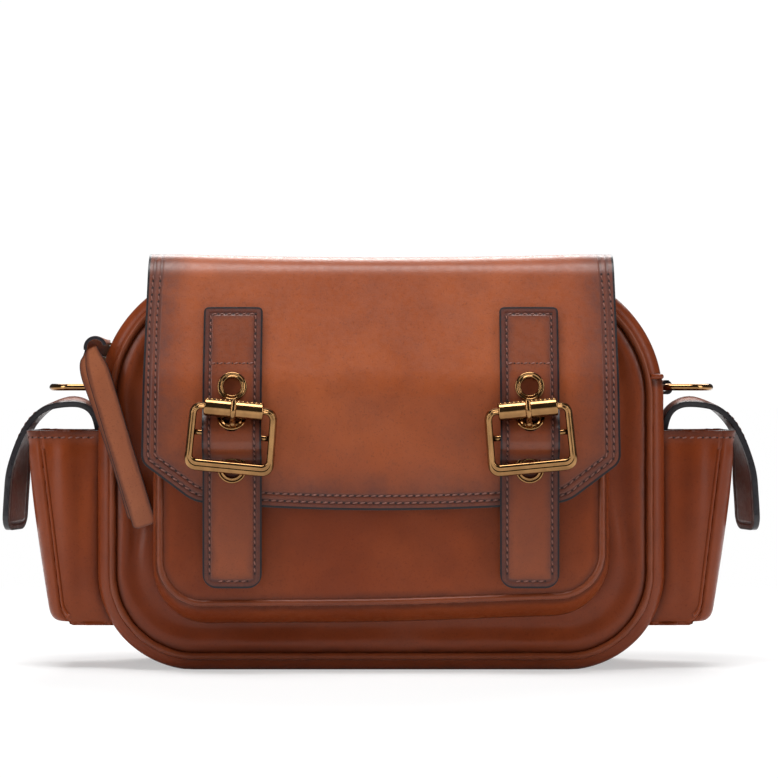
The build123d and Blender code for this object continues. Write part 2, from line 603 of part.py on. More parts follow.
def front_pocket():
    """Front pocket with flared gusset, piping and the lower halves of the snaps."""
    seam_plane = Plane.XZ.offset(-PANEL_FRONT)
    front_plane = Plane.XZ.offset(-POCKET_FRONT)
    above = POCKET_TOP + 30

    def flared(inset, top):
        seam = pocket_outline(POCKET_SEAM_HALF_WIDTH - inset, POCKET_SEAM_LOW + inset, top,
                              POCKET_SEAM_RADIUS - inset)
        front = pocket_outline(POCKET_HALF_WIDTH - inset, POCKET_LOW + inset, top,
                               POCKET_RADIUS - inset)
        return loft([(seam_plane * seam).face(), (front_plane * front).face()], ruled=True)

    bead_inset = POCKET_PIPING_RADIUS
    bead_y = POCKET_FRONT - POCKET_PANEL_PROUD + POCKET_PIPING_RADIUS * 0.6
    half = POCKET_HALF_WIDTH - bead_inset
    low = POCKET_LOW + bead_inset
    line = FilletPolyline((-half, POCKET_TOP), (-half, low), (half, low), (half, POCKET_TOP),
                          radius=POCKET_RADIUS - bead_inset)
    path = Plane.XZ.offset(-bead_y) * line
    section = Plane(origin=path @ 0, z_dir=path % 0) * Circle(POCKET_PIPING_RADIUS)
    piping = sweep(section, path=path)

    outline = pocket_outline(half, low, POCKET_TOP, POCKET_RADIUS - bead_inset)
    face = along_y(outline, POCKET_FACE, POCKET_FACE + POCKET_WALL) - piping
    gusset = flared(0, POCKET_TOP) - flared(POCKET_WALL, above) - piping - face

    disc = Circle(SNAP_RADIUS)
    snaps = [along_y(Pos(x, SNAP_HEIGHT) * disc, POCKET_FACE - SNAP_POCKET_HALF, POCKET_FACE)
             for x in (-STRAP_CENTRE, STRAP_CENTRE)]
    tops = [along_y(Pos(x, SNAP_HEIGHT) * disc, FLAP_FRONT_OUTSIDE,
                    POCKET_FACE - SNAP_POCKET_HALF - SNAP_CLEARANCE)
            for x in (-STRAP_CENTRE, STRAP_CENTRE)]
    return {
        "pocket_front": face,
        "pocket_gusset": gusset,
        "pocket_piping": piping,
        "pocket_snaps": Compound(children=[s.solid() for s in snaps]),
        "strap_snaps": Compound(children=[s.solid() for s in tops]),
    }


def side_pieces(sign, side):
    """Side pocket, D-ring with its tab, and the strap over the pocket, on one side."""
    wall = BODY_HALF_WIDTH
    half = SIDE_POCKET_HALF_DEPTH
    body = along_y(body_outline(0), -FAR / 2, FAR / 2)

    top_x = wall + SIDE_POCKET_TOP_REACH
    low_x = wall + SIDE_POCKET_LOW_REACH
    toe_x = wall + SIDE_POCKET_TOE_REACH
    thick = SIDE_POCKET_WALL
    outside = polygon([(wall - 30, SIDE_POCKET_RIM), (top_x, SIDE_POCKET_RIM),
                       (low_x, SIDE_POCKET_TOE), (toe_x, SIDE_POCKET_LOW),
                       (wall - 30, SIDE_POCKET_LOW)])
    inside = polygon([(wall - 40, SIDE_POCKET_RIM + 20), (top_x - thick, SIDE_POCKET_RIM + 20),
                      (top_x - thick, SIDE_POCKET_RIM), (low_x - thick, SIDE_POCKET_TOE + 0.4),
                      (toe_x - 0.4 * thick, SIDE_POCKET_LOW + thick),
                      (wall - 40, SIDE_POCKET_LOW + thick)])
    slab = polygon([(top_x - thick, SIDE_POCKET_RIM), (top_x, SIDE_POCKET_RIM),
                    (low_x, SIDE_POCKET_TOE), (low_x - thick, SIDE_POCKET_TOE)])
    face = along_y(slab, -half, half)
    gusset = along_y(outside, -half, half) - along_y(inside, -half + thick, half - thick)
    gusset = gusset - face - body

    ring_x = RING_X
    wire = RING_WIRE
    outline = Pos(ring_x + RING_REACH / 2, 0) * Rectangle(RING_REACH, 2 * RING_HALF_DEPTH)
    outline = fillet(outline.vertices().group_by(Axis.X)[-1], RING_HALF_DEPTH * 0.8)
    outline = fillet(outline.vertices().group_by(Axis.X)[0], 3.0)
    path = Plane.XY.offset(RING_HEIGHT) * outline.face().outer_wire()
    section = Plane(origin=path @ 0, z_dir=path % 0) * Circle(wire)
    ring = sweep(section, path=path)

    bore = wire + TAB_CLEARANCE
    tab_side = Pos(ring_x, RING_HEIGHT) * Circle(bore + TAB_WALL)
    tab_side += polygon([(wall, TAB_LOW), (wall + TAB_WALL, TAB_LOW),
                         (wall + TAB_WALL, RING_HEIGHT + bore + TAB_WALL),
                         (wall, RING_HEIGHT + bore + TAB_WALL)])
    tab_side -= Pos(ring_x, RING_HEIGHT) * Circle(bore)
    tab = along_y(tab_side, -TAB_HALF_DEPTH, TAB_HALF_DEPTH) - body

    crest = RING_HEIGHT - wire - SIDE_STRAP_RING_GAP
    thick = SIDE_STRAP_WALL
    spine = FilletPolyline(
        (wall, SIDE_STRAP_LOW), (wall, SIDE_STRAP_LEAVE),
        (wall + SIDE_STRAP_CREST_IN, crest),
        (wall + SIDE_STRAP_SHOULDER, crest - 2.0),
        (wall + SIDE_STRAP_DROP, SIDE_STRAP_DROP_HEIGHT),
        (wall + SIDE_STRAP_DROP, SIDE_STRAP_END),
        radius=(6, 7, 12, 12))
    region = make_face(spine + Polyline((wall + SIDE_STRAP_DROP, SIDE_STRAP_END),
                                        (wall, SIDE_STRAP_LOW - 60),
                                        (wall, SIDE_STRAP_LOW)))
    shell = region - offset(region, -thick)
    strap = along_y(shell, -SIDE_STRAP_HALF_DEPTH, SIDE_STRAP_HALF_DEPTH)
    split_x = wall + SIDE_STRAP_JOINT
    inner_half = block(wall, split_x, -FAR, FAR, SIDE_STRAP_LOW, FAR)
    outer_half = block(split_x, wall + 2 * SIDE_STRAP_DROP, -FAR, FAR, SIDE_STRAP_END, FAR)
    root = strap & inner_half
    tongue_low = block(split_x, wall + SIDE_STRAP_DROP - thick - 0.5, -FAR, FAR, 0,
                       SIDE_STRAP_DROP_HEIGHT - 6)
    tongue = (strap & outer_half) - tongue_low
    rounding = Pos(0, (SIDE_STRAP_END + FAR) / 2) * Rectangle(2 * SIDE_STRAP_HALF_DEPTH,
                                                             FAR - SIDE_STRAP_END)
    rounding = fillet(rounding.vertices().group_by(Axis.Y)[0], SIDE_STRAP_END_RADIUS)
    tongue = tongue & along_x(rounding, wall, wall + 2 * SIDE_STRAP_DROP)

    pieces = {
        "side_pocket_face": face,
        "side_pocket_gusset": gusset,
        "d_ring": ring,
        "d_ring_tab": tab,
        "side_strap_root": root,
        "side_strap_tongue": tongue,
    }
    if sign < 0:
        pieces = {name: mirror(piece, Plane.YZ) for name, piece in pieces.items()}
    return {name + "_" + side: piece for name, piece in pieces.items()}


def bag():
    nodes = main_body()
    nodes.update(zip_pieces())
    nodes.update(zip_slider_pieces())
    back_of_body = nodes["back_piping"] + nodes["back_panel"] + nodes["upper_gusset_back"]
    nodes.update(flap_pieces(back_of_body))
    for sign, side in ((-1, "left"), (1, "right")):
        nodes.update(strap_pieces(sign * STRAP_CENTRE, side))
        nodes.update(buckle_pieces(sign * STRAP_CENTRE, side, -sign * BUCKLE_TILT))
        nodes.update(side_pieces(sign, side))
    nodes.update(front_pocket())
    return nodes


os.makedirs("parts", exist_ok=True)
for node_name, shape in bag().items():
    export_step(shape, "parts/" + node_name + ".step")
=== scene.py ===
import bmesh
import bpy
import math
import numpy as np
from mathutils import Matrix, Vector


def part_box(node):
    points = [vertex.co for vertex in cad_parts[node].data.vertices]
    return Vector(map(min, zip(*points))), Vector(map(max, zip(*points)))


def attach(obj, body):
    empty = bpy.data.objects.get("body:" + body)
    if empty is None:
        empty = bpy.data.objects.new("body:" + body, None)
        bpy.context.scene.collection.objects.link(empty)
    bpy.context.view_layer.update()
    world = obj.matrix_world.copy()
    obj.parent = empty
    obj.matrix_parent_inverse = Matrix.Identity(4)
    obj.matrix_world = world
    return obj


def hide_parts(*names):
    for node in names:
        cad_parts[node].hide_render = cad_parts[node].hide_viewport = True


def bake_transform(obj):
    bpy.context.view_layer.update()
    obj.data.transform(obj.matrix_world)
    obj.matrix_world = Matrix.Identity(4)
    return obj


# Looks of a leather sling bag. Shapes are worked out in millimetres in the row frame and turned
# into metres when a mesh is made. Every leather mesh carries "edge_mm", the distance to its cut
# or sewn edge, which its material uses for burnishing and for the line pressed by the stitches.

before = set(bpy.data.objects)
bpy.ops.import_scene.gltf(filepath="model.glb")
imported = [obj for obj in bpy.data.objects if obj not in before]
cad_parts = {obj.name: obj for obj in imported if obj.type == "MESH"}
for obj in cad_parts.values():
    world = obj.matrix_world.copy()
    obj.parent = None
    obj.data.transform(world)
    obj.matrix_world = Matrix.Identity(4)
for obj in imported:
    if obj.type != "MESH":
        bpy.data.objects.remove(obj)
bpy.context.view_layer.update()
MM = 0.001


def low_mm(node):
    return np.array(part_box(node)[0]) / MM


def high_mm(node):
    return np.array(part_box(node)[1]) / MM


# ---- sizes in mm, read from the frame or repeated from the CAD ----
BODY_HALF = high_mm("lower_gusset")[0]
BODY_TOP = high_mm("upper_gusset_front")[2]
SEAM_Z = high_mm("lower_gusset")[2]
GUSSET_Y = high_mm("lower_gusset")[1]
PANEL_Y = low_mm("front_panel")[1]
PIPING_Y = (low_mm("front_piping")[1] + high_mm("front_piping")[1]) / 2
TOP_RADIUS = 58.0
LOW_RADIUS = 42.0
BODY_MIDDLE_Z = 88.0
PIPING_INSET = 6.4
ROLL = 5.6
ROLL_DEPTH = 6.0
PIPING_RADIUS = 1.5
BODY_LEATHER = 2.0
TAPE_HALF = high_mm("zip_tape_back")[1]
CORNER_X = BODY_HALF - TOP_RADIUS
CORNER_Z = BODY_TOP - TOP_RADIUS
FLAP_FRONT = low_mm("flap")[1]
FLAP_TOP = high_mm("flap")[2]
FLAP_REAR = high_mm("flap_rear")[1]
FLAP_REAR_LOW = low_mm("flap_rear")[2]
FLAP_LEATHER = 1.7
FLAP_LINING = 1.3
FLAP_HALF_TOP = 99.5
FLAP_HALF_LOW = 101.3
FLAP_CORNER_Z = 90.0
FLAP_DIAGONAL_X = 79.0
FLAP_DIAGONAL_Z = 73.2
FLAP_LOW_Z = low_mm("flap")[2]
STRAP_X = 62.7
STRAP_WIDTH = 25.0
STRAP_WALL = 2.4
STRAP_LOW_CORNER = 6.0
STRAP_TOP_CORNER = 2.0
STRAP_CROSS_Z = 131.0
FINE_STITCH = (2.9, 1.9, 0.3)
STRAP_TOP = high_mm("strap_right")[2]
STRAP_LOW = low_mm("strap_right")[2]
BAR_Z = 101.5
BUCKLE_LOW_Y = -70.35
BUCKLE_LOW_Z = 88.0
BUCKLE_TOP_Z = 112.9
BUCKLE_LOW_HALF = 17.3
BUCKLE_TOP_HALF = 16.9
ROLLER_HALF = 12.5
ROLLER_SKIN = 3.86
ROLLER_EDGE = 3.75
ROLLER_BORE = 1.6
TILT = math.radians(5.5)
ROLLER_Z = 112.6
EYELET_HEIGHTS = (121.7, 107.6, 87.4)
EYELET_CUT = 4.3
ROLLER_Y = (low_mm("buckle_roller_right")[1] + high_mm("buckle_roller_right")[1]) / 2
POCKET_HALF = high_mm("pocket_piping")[0]
POCKET_LOW = low_mm("pocket_piping")[2]
POCKET_TOP = high_mm("pocket_front")[2]
POCKET_FACE = low_mm("pocket_front")[1]
POCKET_SEAM_HALF = high_mm("pocket_gusset")[0]
POCKET_SEAM_LOW = low_mm("pocket_gusset")[2]
RING_X = 124.7
RING_Z = 121.8
GUSSET_BULGE = 1.35
OVERLAP_STAND = 0.35
WIRE = 1.5
SIDES = (("left", -1), ("right", 1))
FORWARD = (0.0, -1.0, 0.0)
BEAD_ANGLE = math.radians(58)
BEAD_RADIUS = 0.86


# ---- materials ----
EDGE_INK = (0.010, 0.008, 0.010)
FLAP_ROWS = (3.0, 6.0)
STRAP_ROW = 3.0


def new_material(name):
    material = bpy.data.materials.new(name)
    material.use_nodes = True
    tree = material.node_tree
    shader = tree.nodes["Principled BSDF"]
    return material, tree, shader


def set_inputs(node, values):
    for key, value in values.items():
        node.inputs[key].default_value = value


def add(tree, kind, **settings):
    node = tree.nodes.new(kind)
    for key, value in settings.items():
        setattr(node, key, value)
    return node


def object_coords(tree):
    return add(tree, "ShaderNodeTexCoord").outputs["Object"]


def noise(tree, coords, scale, detail, rough):
    node = add(tree, "ShaderNodeTexNoise")
    set_inputs(node, {"Scale": scale, "Detail": detail, "Roughness": rough})
    tree.links.new(coords, node.inputs["Vector"])
    return node.outputs["Fac"]


def math_node(tree, operation, first, second=None, clamp=False):
    node = add(tree, "ShaderNodeMath", operation=operation, use_clamp=clamp)
    for index, value in enumerate((first, second)):
        if value is None:
            continue
        if isinstance(value, (int, float)):
            node.inputs[index].default_value = value
        else:
            tree.links.new(value, node.inputs[index])
    return node.outputs[0]


def map_range(tree, value, low, high, out_low=0.0, out_high=1.0):
    node = add(tree, "ShaderNodeMapRange", interpolation_type="SMOOTHSTEP")
    set_inputs(node, {"From Min": low, "From Max": high, "To Min": out_low, "To Max": out_high})
    tree.links.new(value, node.inputs["Value"])
    return node.outputs["Result"]


def mix(tree, factor, first, second):
    node = add(tree, "ShaderNodeMix", data_type="RGBA")
    tree.links.new(factor, node.inputs["Factor"])
    for socket, value in ((node.inputs["A"], first), (node.inputs["B"], second)):
        if isinstance(value, tuple):
            socket.default_value = (*value, 1.0)
        else:
            tree.links.new(value, socket)
    return node.outputs["Result"]


def bump(tree, shader, height, strength, distance_mm):
    node = add(tree, "ShaderNodeBump")
    set_inputs(node, {"Strength": strength, "Distance": distance_mm * MM})
    tree.links.new(height, node.inputs["Height"])
    tree.links.new(node.outputs["Normal"], shader.inputs["Normal"])


def leather(name, base, light, dark, rough=0.42, burnish_mm=9.0, rows=(), grain=0.5,
            paint_mm=0.0, shine=1.0):
    """Waxed leather: blotchy colour, burnished edges, pores, grooves under stitches, edge paint.

    rows are the distances in mm from the edge at which stitches run, and paint_mm is the width of
    the painted line at the edge.
    """
    material, tree, shader = new_material(name)
    coords = object_coords(tree)
    edge = add(tree, "ShaderNodeAttribute", attribute_name="edge_mm").outputs["Fac"]
    cloud = noise(tree, coords, 16.0, 3.0, 0.5)
    fine_cloud = noise(tree, coords, 75.0, 5.0, 0.6)
    pores = noise(tree, coords, 1300.0, 3.0, 0.6)
    wrinkles = noise(tree, coords, 420.0, 4.0, 0.65)
    colour = mix(tree, map_range(tree, cloud, 0.38, 0.68), base, light)
    uneven = map_range(tree, fine_cloud, 0.35, 0.75, 0.0, 0.22)
    colour = mix(tree, uneven, colour, dark)
    spread = 0.16 * burnish_mm
    shifted = math_node(tree, "ADD", edge, map_range(tree, fine_cloud, 0.3, 0.7, -spread, spread))
    burnish = map_range(tree, shifted, 0.5, burnish_mm, 0.92, 0.0)
    stipple = map_range(tree, wrinkles, 0.35, 0.65, 0.82, 1.0)
    colour = mix(tree, math_node(tree, "MULTIPLY", burnish, stipple), colour, dark)
    speck = map_range(tree, pores, 0.30, 0.45, 0.30, 0.0)
    colour = mix(tree, speck, colour, tuple(0.6 * c for c in dark))
    from_rows = [math_node(tree, "ABSOLUTE", math_node(tree, "SUBTRACT", edge, row))
                 for row in rows]
    for away in from_rows:
        colour = mix(tree, map_range(tree, away, 0.3, 0.9, 0.55, 0.0), colour,
                     tuple(0.7 * c for c in dark))
    if paint_mm > 0:
        colour = mix(tree, map_range(tree, edge, paint_mm - 0.15, paint_mm + 0.15, 1.0, 0.0),
                     colour, EDGE_INK)
    tree.links.new(colour, shader.inputs["Base Color"])
    tree.links.new(map_range(tree, wrinkles, 0.3, 0.7, rough - 0.07, rough + 0.09),
                   shader.inputs["Roughness"])
    set_inputs(shader, {"Coat Weight": 0.16 * shine, "Coat Roughness": 0.26,
                        "Specular IOR Level": 0.30 * shine})
    height = math_node(tree, "ADD", math_node(tree, "MULTIPLY", pores, 0.35 * grain),
                       math_node(tree, "MULTIPLY", wrinkles, 0.9 * grain))
    for away in from_rows:
        groove = map_range(tree, away, 0.25, 1.1, -1.6, 0.0)
        height = math_node(tree, "ADD", height, groove)
    bump(tree, shader, height, 0.55, 0.28)
    return material


def metal(name, colour, rough=0.14):
    material, tree, shader = new_material(name)
    coords = object_coords(tree)
    wear = noise(tree, coords, 160.0, 4.0, 0.6)
    scratches = noise(tree, coords, 900.0, 3.0, 0.7)
    tree.links.new(mix(tree, map_range(tree, wear, 0.3, 0.7), colour,
                       tuple(0.72 * c for c in colour)), shader.inputs["Base Color"])
    tree.links.new(map_range(tree, scratches, 0.3, 0.7, rough - 0.04, rough + 0.07),
                   shader.inputs["Roughness"])
    shader.inputs["Metallic"].default_value = 1.0
    bump(tree, shader, scratches, 0.06, 0.05)
    return material


def cloth(name, first, second, pitch_mm=0.55):
    material, tree, shader = new_material(name)
    coords = object_coords(tree)
    waves = []
    for direction in ("X", "Z", "Y"):
        wave = add(tree, "ShaderNodeTexWave", bands_direction=direction, wave_profile="SIN")
        set_inputs(wave, {"Scale": 0.314 / (pitch_mm * MM), "Distortion": 0.4})
        tree.links.new(coords, wave.inputs["Vector"])
        waves.append(wave.outputs["Fac"])
    weave = math_node(tree, "MULTIPLY", waves[0], math_node(tree, "ADD", waves[1], waves[2]))
    slub = noise(tree, coords, 240.0, 3.0, 0.6)
    tone = math_node(tree, "MULTIPLY", weave, slub, True)
    tree.links.new(mix(tree, tone, first, second), shader.inputs["Base Color"])
    set_inputs(shader, {"Roughness": 0.85, "Sheen Weight": 0.2})
    bump(tree, shader, weave, 0.5, 0.15)
    return material


def plain_detail(name, colour, rough, speck=0.25):
    """Edge paint, thread and the painted shade of needle holes: one colour, broken up by small
    wear.
    """
    material, tree, shader = new_material(name)
    coords = object_coords(tree)
    wear = noise(tree, coords, 700.0, 4.0, 0.65)
    worn = tuple(min(1.0, c * 1.9 + 0.01) for c in colour)
    factor = math_node(tree, "MULTIPLY", map_range(tree, wear, 0.45, 0.75), speck)
    tree.links.new(mix(tree, factor, colour, worn), shader.inputs["Base Color"])
    tree.links.new(map_range(tree, wear, 0.3, 0.7, rough - 0.08, rough + 0.1),
                   shader.inputs["Roughness"])
    bump(tree, shader, wear, 0.3, 0.1)
    return material


flap_leather = leather("flap_leather", (0.270, 0.060, 0.0170), (0.325, 0.078, 0.0235),
                       (0.088, 0.029, 0.022), 0.40, 22.0, FLAP_ROWS, 0.5, 0.9)
strap_leather = leather("strap_leather", (0.185, 0.041, 0.0135), (0.230, 0.056, 0.020),
                        (0.060, 0.020, 0.017), 0.38, 7.0, (STRAP_ROW,), 0.5, 0.8)
pocket_leather = leather("pocket_leather", (0.175, 0.030, 0.0060), (0.215, 0.041, 0.0090),
                         (0.075, 0.014, 0.004), 0.36, 5.0, shine=0.6)
body_leather = leather("body_leather", (0.160, 0.0275, 0.0058), (0.200, 0.037, 0.0085),
                       (0.062, 0.012, 0.004), 0.36, 4.0, shine=0.62)
trim_leather = leather("trim_leather", (0.155, 0.032, 0.0095), (0.205, 0.045, 0.014),
                       (0.060, 0.013, 0.006), 0.36, 0.6, shine=0.8)
pull_leather = leather("pull_leather", (0.285, 0.078, 0.030), (0.37, 0.120, 0.052),
                       (0.13, 0.036, 0.018), 0.36, 2.2, (), 0.6, 0.25)
suede = leather("flap_suede", (0.085, 0.034, 0.020), (0.115, 0.047, 0.028),
                (0.05, 0.020, 0.013), 0.78, 5.0, (), 1.3)
edge_paint = plain_detail("edge_paint", (0.010, 0.008, 0.011), 0.34)
thread = plain_detail("thread", (0.165, 0.062, 0.044), 0.5, 0.7)
# painted shade: a near-black colour for the flat marks that stand for the shadow inside the needle
# holes
needle_hole_shade = plain_detail("needle_hole_shade", (0.018, 0.006, 0.005), 0.8, 0.2)
gold = metal("buckle_gold", (0.37, 0.198, 0.080), 0.09)
brass = metal("zip_brass", (0.46, 0.30, 0.14), 0.22)
steel = metal("snap_steel", (0.42, 0.33, 0.22), 0.16)
lining_cloth = cloth("lining_cloth", (0.20, 0.13, 0.075), (0.42, 0.31, 0.20))
tape_cloth = cloth("zip_tape_cloth", (0.020, 0.012, 0.010), (0.075, 0.045, 0.034), 0.8)


# ---- mesh helpers ----
def unit(vectors):
    """Vectors scaled to length 1."""
    return vectors / np.linalg.norm(vectors, axis=-1, keepdims=True)


def right_of(tangent):
    """Directions in a plane to the right of the way that a run goes."""
    return np.stack([tangent[:, 1], -tangent[:, 0]], 1)


def points_of(x, y, z):
    """Points from coordinates, each of which is a number, a run or a grid."""
    return np.stack(np.broadcast_arrays(x, y, z), -1).astype(float)


def path_lengths(path):
    """How far along a run each of its points lies."""
    return np.concatenate([[0], np.cumsum(np.linalg.norm(np.diff(path, axis=0), axis=1))])


def read_off(places, run, points):
    """Values of a run's points at distances along it."""
    return np.stack([np.interp(places, run, points[:, k]) for k in range(points.shape[1])], -1)


def fit_to(obj, body, *nodes):
    """Rides a piece on a body and hides the CAD nodes that it stands for."""
    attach(obj, body)
    if nodes:
        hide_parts(*nodes)
    return obj


def make_object(name, verts_mm, faces, materials, edge=None):
    mesh = bpy.data.meshes.new(name)
    mesh.from_pydata([tuple(v) for v in np.asarray(verts_mm) * MM], [], faces)
    values = np.full(len(verts_mm), 30.0) if edge is None else np.asarray(edge).ravel()
    attribute = mesh.attributes.new("edge_mm", "FLOAT", "POINT")
    attribute.data.foreach_set("value", values.astype(np.float32))
    mesh.polygons.foreach_set("use_smooth", [True] * len(mesh.polygons))
    for material in materials:
        mesh.materials.append(material)
    mesh.update()
    obj = bpy.data.objects.new(name, mesh)
    bpy.context.scene.collection.objects.link(obj)
    return obj


def grid_faces(rows, columns, close_rows=False, close_columns=False, flip=False):
    faces = []
    for i in range(rows if close_rows else rows - 1):
        for j in range(columns if close_columns else columns - 1):
            a = i * columns + j
            b = i * columns + (j + 1) % columns
            c = ((i + 1) % rows) * columns + (j + 1) % columns
            d = ((i + 1) % rows) * columns + j
            faces.append((a, d, c, b) if flip else (a, b, c, d))
    return faces


def sheet_object(name, points, materials, wall, edge, outward, rim_round=0.35):
    """A leather sheet whose outer face is the given grid; the wall goes to the inside.

    outward is a rough outward direction at the grid's middle point.
    """
    rows, columns, _ = points.shape
    middle_row, middle_column = rows // 2, columns // 2
    down = points[middle_row + 1, middle_column] - points[middle_row - 1, middle_column]
    over = points[middle_row, middle_column + 1] - points[middle_row, middle_column - 1]
    flip = np.dot(np.cross(over, down), outward) < 0
    faces = grid_faces(rows, columns, False, False, flip)
    obj = make_object(name, points.reshape(-1, 3), faces, materials, edge)
    thicken(obj, wall).material_offset_rim = len(materials) - 1
    bevel = obj.modifiers.new("rim", "BEVEL")
    bevel.width = rim_round * MM
    bevel.segments = 3
    bevel.limit_method = "ANGLE"
    bevel.angle_limit = math.radians(50)
    return obj


def thicken(obj, wall):
    """Gives a sheet its wall, to the inside of the faces that it has."""
    solid = obj.modifiers.new("wall", "SOLIDIFY")
    solid.thickness = wall * MM
    solid.offset = -1.0
    return solid


def frames_along(points, closed, up):
    """Side and normal at each point of a run."""
    points = np.asarray(points, float)
    if closed:
        tangent = np.roll(points, -1, 0) - np.roll(points, 1, 0)
    else:
        tangent = np.gradient(points, axis=0)
    tangent = unit(tangent)
    normal = np.zeros_like(tangent)
    normal[:] = up
    normal -= tangent * np.sum(normal * tangent, axis=1)[:, None]
    weak = np.linalg.norm(normal, axis=1) < 1e-3
    normal[weak] = (0.0, 1.0, 0.0)
    normal = unit(normal)
    return np.cross(tangent, normal), normal


def tube(name, points, radius, material, closed=False, up=(0.0, 1.0, 0.0), sides=14, flat=1.0):
    """A round bar along a run. flat squeezes it along the up direction."""
    points = np.asarray(points, float)
    side, normal = frames_along(points, closed, up)
    angles = np.linspace(0, 2 * math.pi, sides, endpoint=False)
    radii = np.broadcast_to(np.asarray(radius, float), (len(points),))
    ring = (side[:, None, :] * np.cos(angles)[None, :, None]
            + flat * normal[:, None, :] * np.sin(angles)[None, :, None])
    verts = points[:, None, :] + radii[:, None, None] * ring
    faces = grid_faces(len(points), sides, closed, True)
    verts = verts.reshape(-1, 3)
    if not closed:
        faces.append(tuple(range(sides)))
        last = (len(points) - 1) * sides
        faces.append(tuple(last + k for k in reversed(range(sides))))
    return make_object(name, verts, faces, [material])


def resample(points, count):
    """The same run with evenly spaced points."""
    points = np.asarray(points, float)
    run = path_lengths(points)
    return read_off(np.linspace(0, run[-1], count), run, points)


def smooth_run(points, count):
    """A smooth curve through a few points."""
    points = np.asarray(points, float)
    padded = np.vstack([2 * points[0] - points[1], points, 2 * points[-1] - points[-2]])
    dense = []
    for k in range(1, len(padded) - 2):
        p0, p1, p2, p3 = padded[k - 1:k + 3]
        for t in np.linspace(0, 1, 24, endpoint=False):
            dense.append(0.5 * ((2 * p1) + (-p0 + p2) * t + (2 * p0 - 5 * p1 + 4 * p2 - p3) * t ** 2
                                + (-p0 + 3 * p1 - 3 * p2 + p3) * t ** 3))
    dense.append(points[-1])
    return resample(np.array(dense), count)


def filleted(corners, radii, step=0.8):
    """Dense points along a run of lines whose inner corners are rounded."""
    corners = [np.asarray(c, float) for c in corners]
    dense = [corners[0]]
    for before, corner, after, radius in zip(corners, corners[1:], corners[2:], radii):
        into = unit(corner - before)
        out = unit(after - corner)
        turn = math.acos(float(np.clip(np.dot(into, out), -1, 1)))
        reach = radius * math.tan(turn / 2)
        middle = corner + unit(out - into) * radius / math.cos(turn / 2)
        first = corner - into * reach
        count = max(3, int(radius * turn / step))
        for k in range(count + 1):
            angle = turn * k / count
            dense.append(middle + (first - middle) * math.cos(angle)
                         + into * radius * math.sin(angle))
    dense.append(corners[-1])
    dense = np.array(dense)
    return resample(dense, int(path_lengths(dense)[-1] / step) + 2)


def offset_run(points, amount):
    """A run in a plane moved to its right by an amount."""
    return points + right_of(unit(np.gradient(points, axis=0))) * amount


KNOT_ROWS = 5
KNOT_SIDES = 6


def stitch_object(name, lines, body, pitch=3.1, length=2.3, radius=0.33, slant=14.0):
    """Rows of thread, and dark marks between them that paint the shade in the needle holes. Each
    line is (points, outward normals).
    """
    knot = []
    for along in np.linspace(-1, 1, KNOT_ROWS):
        width = math.sqrt(max(0.0, 1 - along ** 4)) * 0.92 + 0.08
        for angle in np.linspace(0, 2 * math.pi, KNOT_SIDES, endpoint=False):
            knot.append((along, width * math.cos(angle), width * math.sin(angle)))
    knot_faces = grid_faces(KNOT_ROWS, KNOT_SIDES, False, True)
    knot_faces += [tuple(range(KNOT_SIDES)),
                   tuple(len(knot) - KNOT_SIDES + k for k in reversed(range(KNOT_SIDES)))]
    verts, faces, materials = [], [], []

    def lay(middle, along, across, up, material):
        start = len(verts)
        verts.extend(middle + along * a + across * b + up * c for a, b, c in knot)
        faces.extend(tuple(start + index for index in face) for face in knot_faces)
        materials.extend([material] * len(knot_faces))

    turn = math.radians(slant)
    for points, normals in lines:
        points = np.asarray(points, float)
        normals = np.broadcast_to(np.asarray(normals, float), points.shape)
        run = path_lengths(points)
        count = max(1, int(run[-1] / pitch))
        for k in range(count):
            place = (k + 0.5) * run[-1] / count
            middle = read_off(place, run, points)
            normal = unit(read_off(place, run, normals))
            tangent = unit(read_off(place + 0.6, run, points)
                           - read_off(place - 0.6, run, points))
            tangent -= normal * np.dot(tangent, normal)
            side = np.cross(normal, tangent)
            along = tangent * math.cos(turn) + side * math.sin(turn)
            lay(middle + normal * 0.10, along * length / 2, np.cross(normal, along) * radius,
                normal * radius * 0.8, 0)
            # a dark flat mark between two stitches, painted shade standing for the needle hole
            lay(middle + tangent * run[-1] / count / 2 + normal * 0.02,
                tangent * radius * 1.5, side * radius * 1.25, normal * radius * 0.35, 1)
    obj = make_object(name, verts, faces, [thread, needle_hole_shade])
    obj.data.polygons.foreach_set("material_index", materials)
    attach(obj, body)


def lathe(name, profile, centre, axis, material, sides):
    """A turned piece: profile of (radius, height) about an axis through a centre."""
    axis = unit(np.asarray(axis, float))
    first = unit(np.cross(axis, (0.0, 0.0, 1.0)))
    second = np.cross(axis, first)
    angles = np.linspace(0, 2 * math.pi, sides, endpoint=False)
    verts = []
    for radius, height in profile:
        for angle in angles:
            around = first * math.cos(angle) + second * math.sin(angle)
            verts.append(np.asarray(centre) + around * radius + axis * height)
    faces = grid_faces(len(profile), sides, True, True)
    return make_object(name, verts, faces, [material])


def wobble(a, b, seed):
    """A smooth, small, repeatable unevenness between -1 and 1."""
    return (np.sin(0.041 * a + 1.3 * seed) * np.cos(0.057 * b + 0.7 * seed)
            + 0.5 * np.sin(0.113 * a - 0.071 * b + 2.1 * seed)
            + 0.25 * np.sin(0.23 * a + 0.19 * b + 3.7 * seed)) / 1.75


def ease_in_out(share):
    return share * share * (3 - 2 * share)


def inner_line(run):
    """Where each point of a body outline is drawn to: a short level line in the middle."""
    across = np.round(np.clip(run[:, 0], -62, 62) / 2.5) * 2.5
    return np.stack([across, np.full(len(run), BODY_MIDDLE_Z)], 1)


def weld(obj):
    """Joins points that lie in the same place."""
    mesh = bmesh.new()
    mesh.from_mesh(obj.data)
    bmesh.ops.remove_doubles(mesh, verts=mesh.verts, dist=0.02 * MM)
    mesh.to_mesh(obj.data)
    mesh.free()


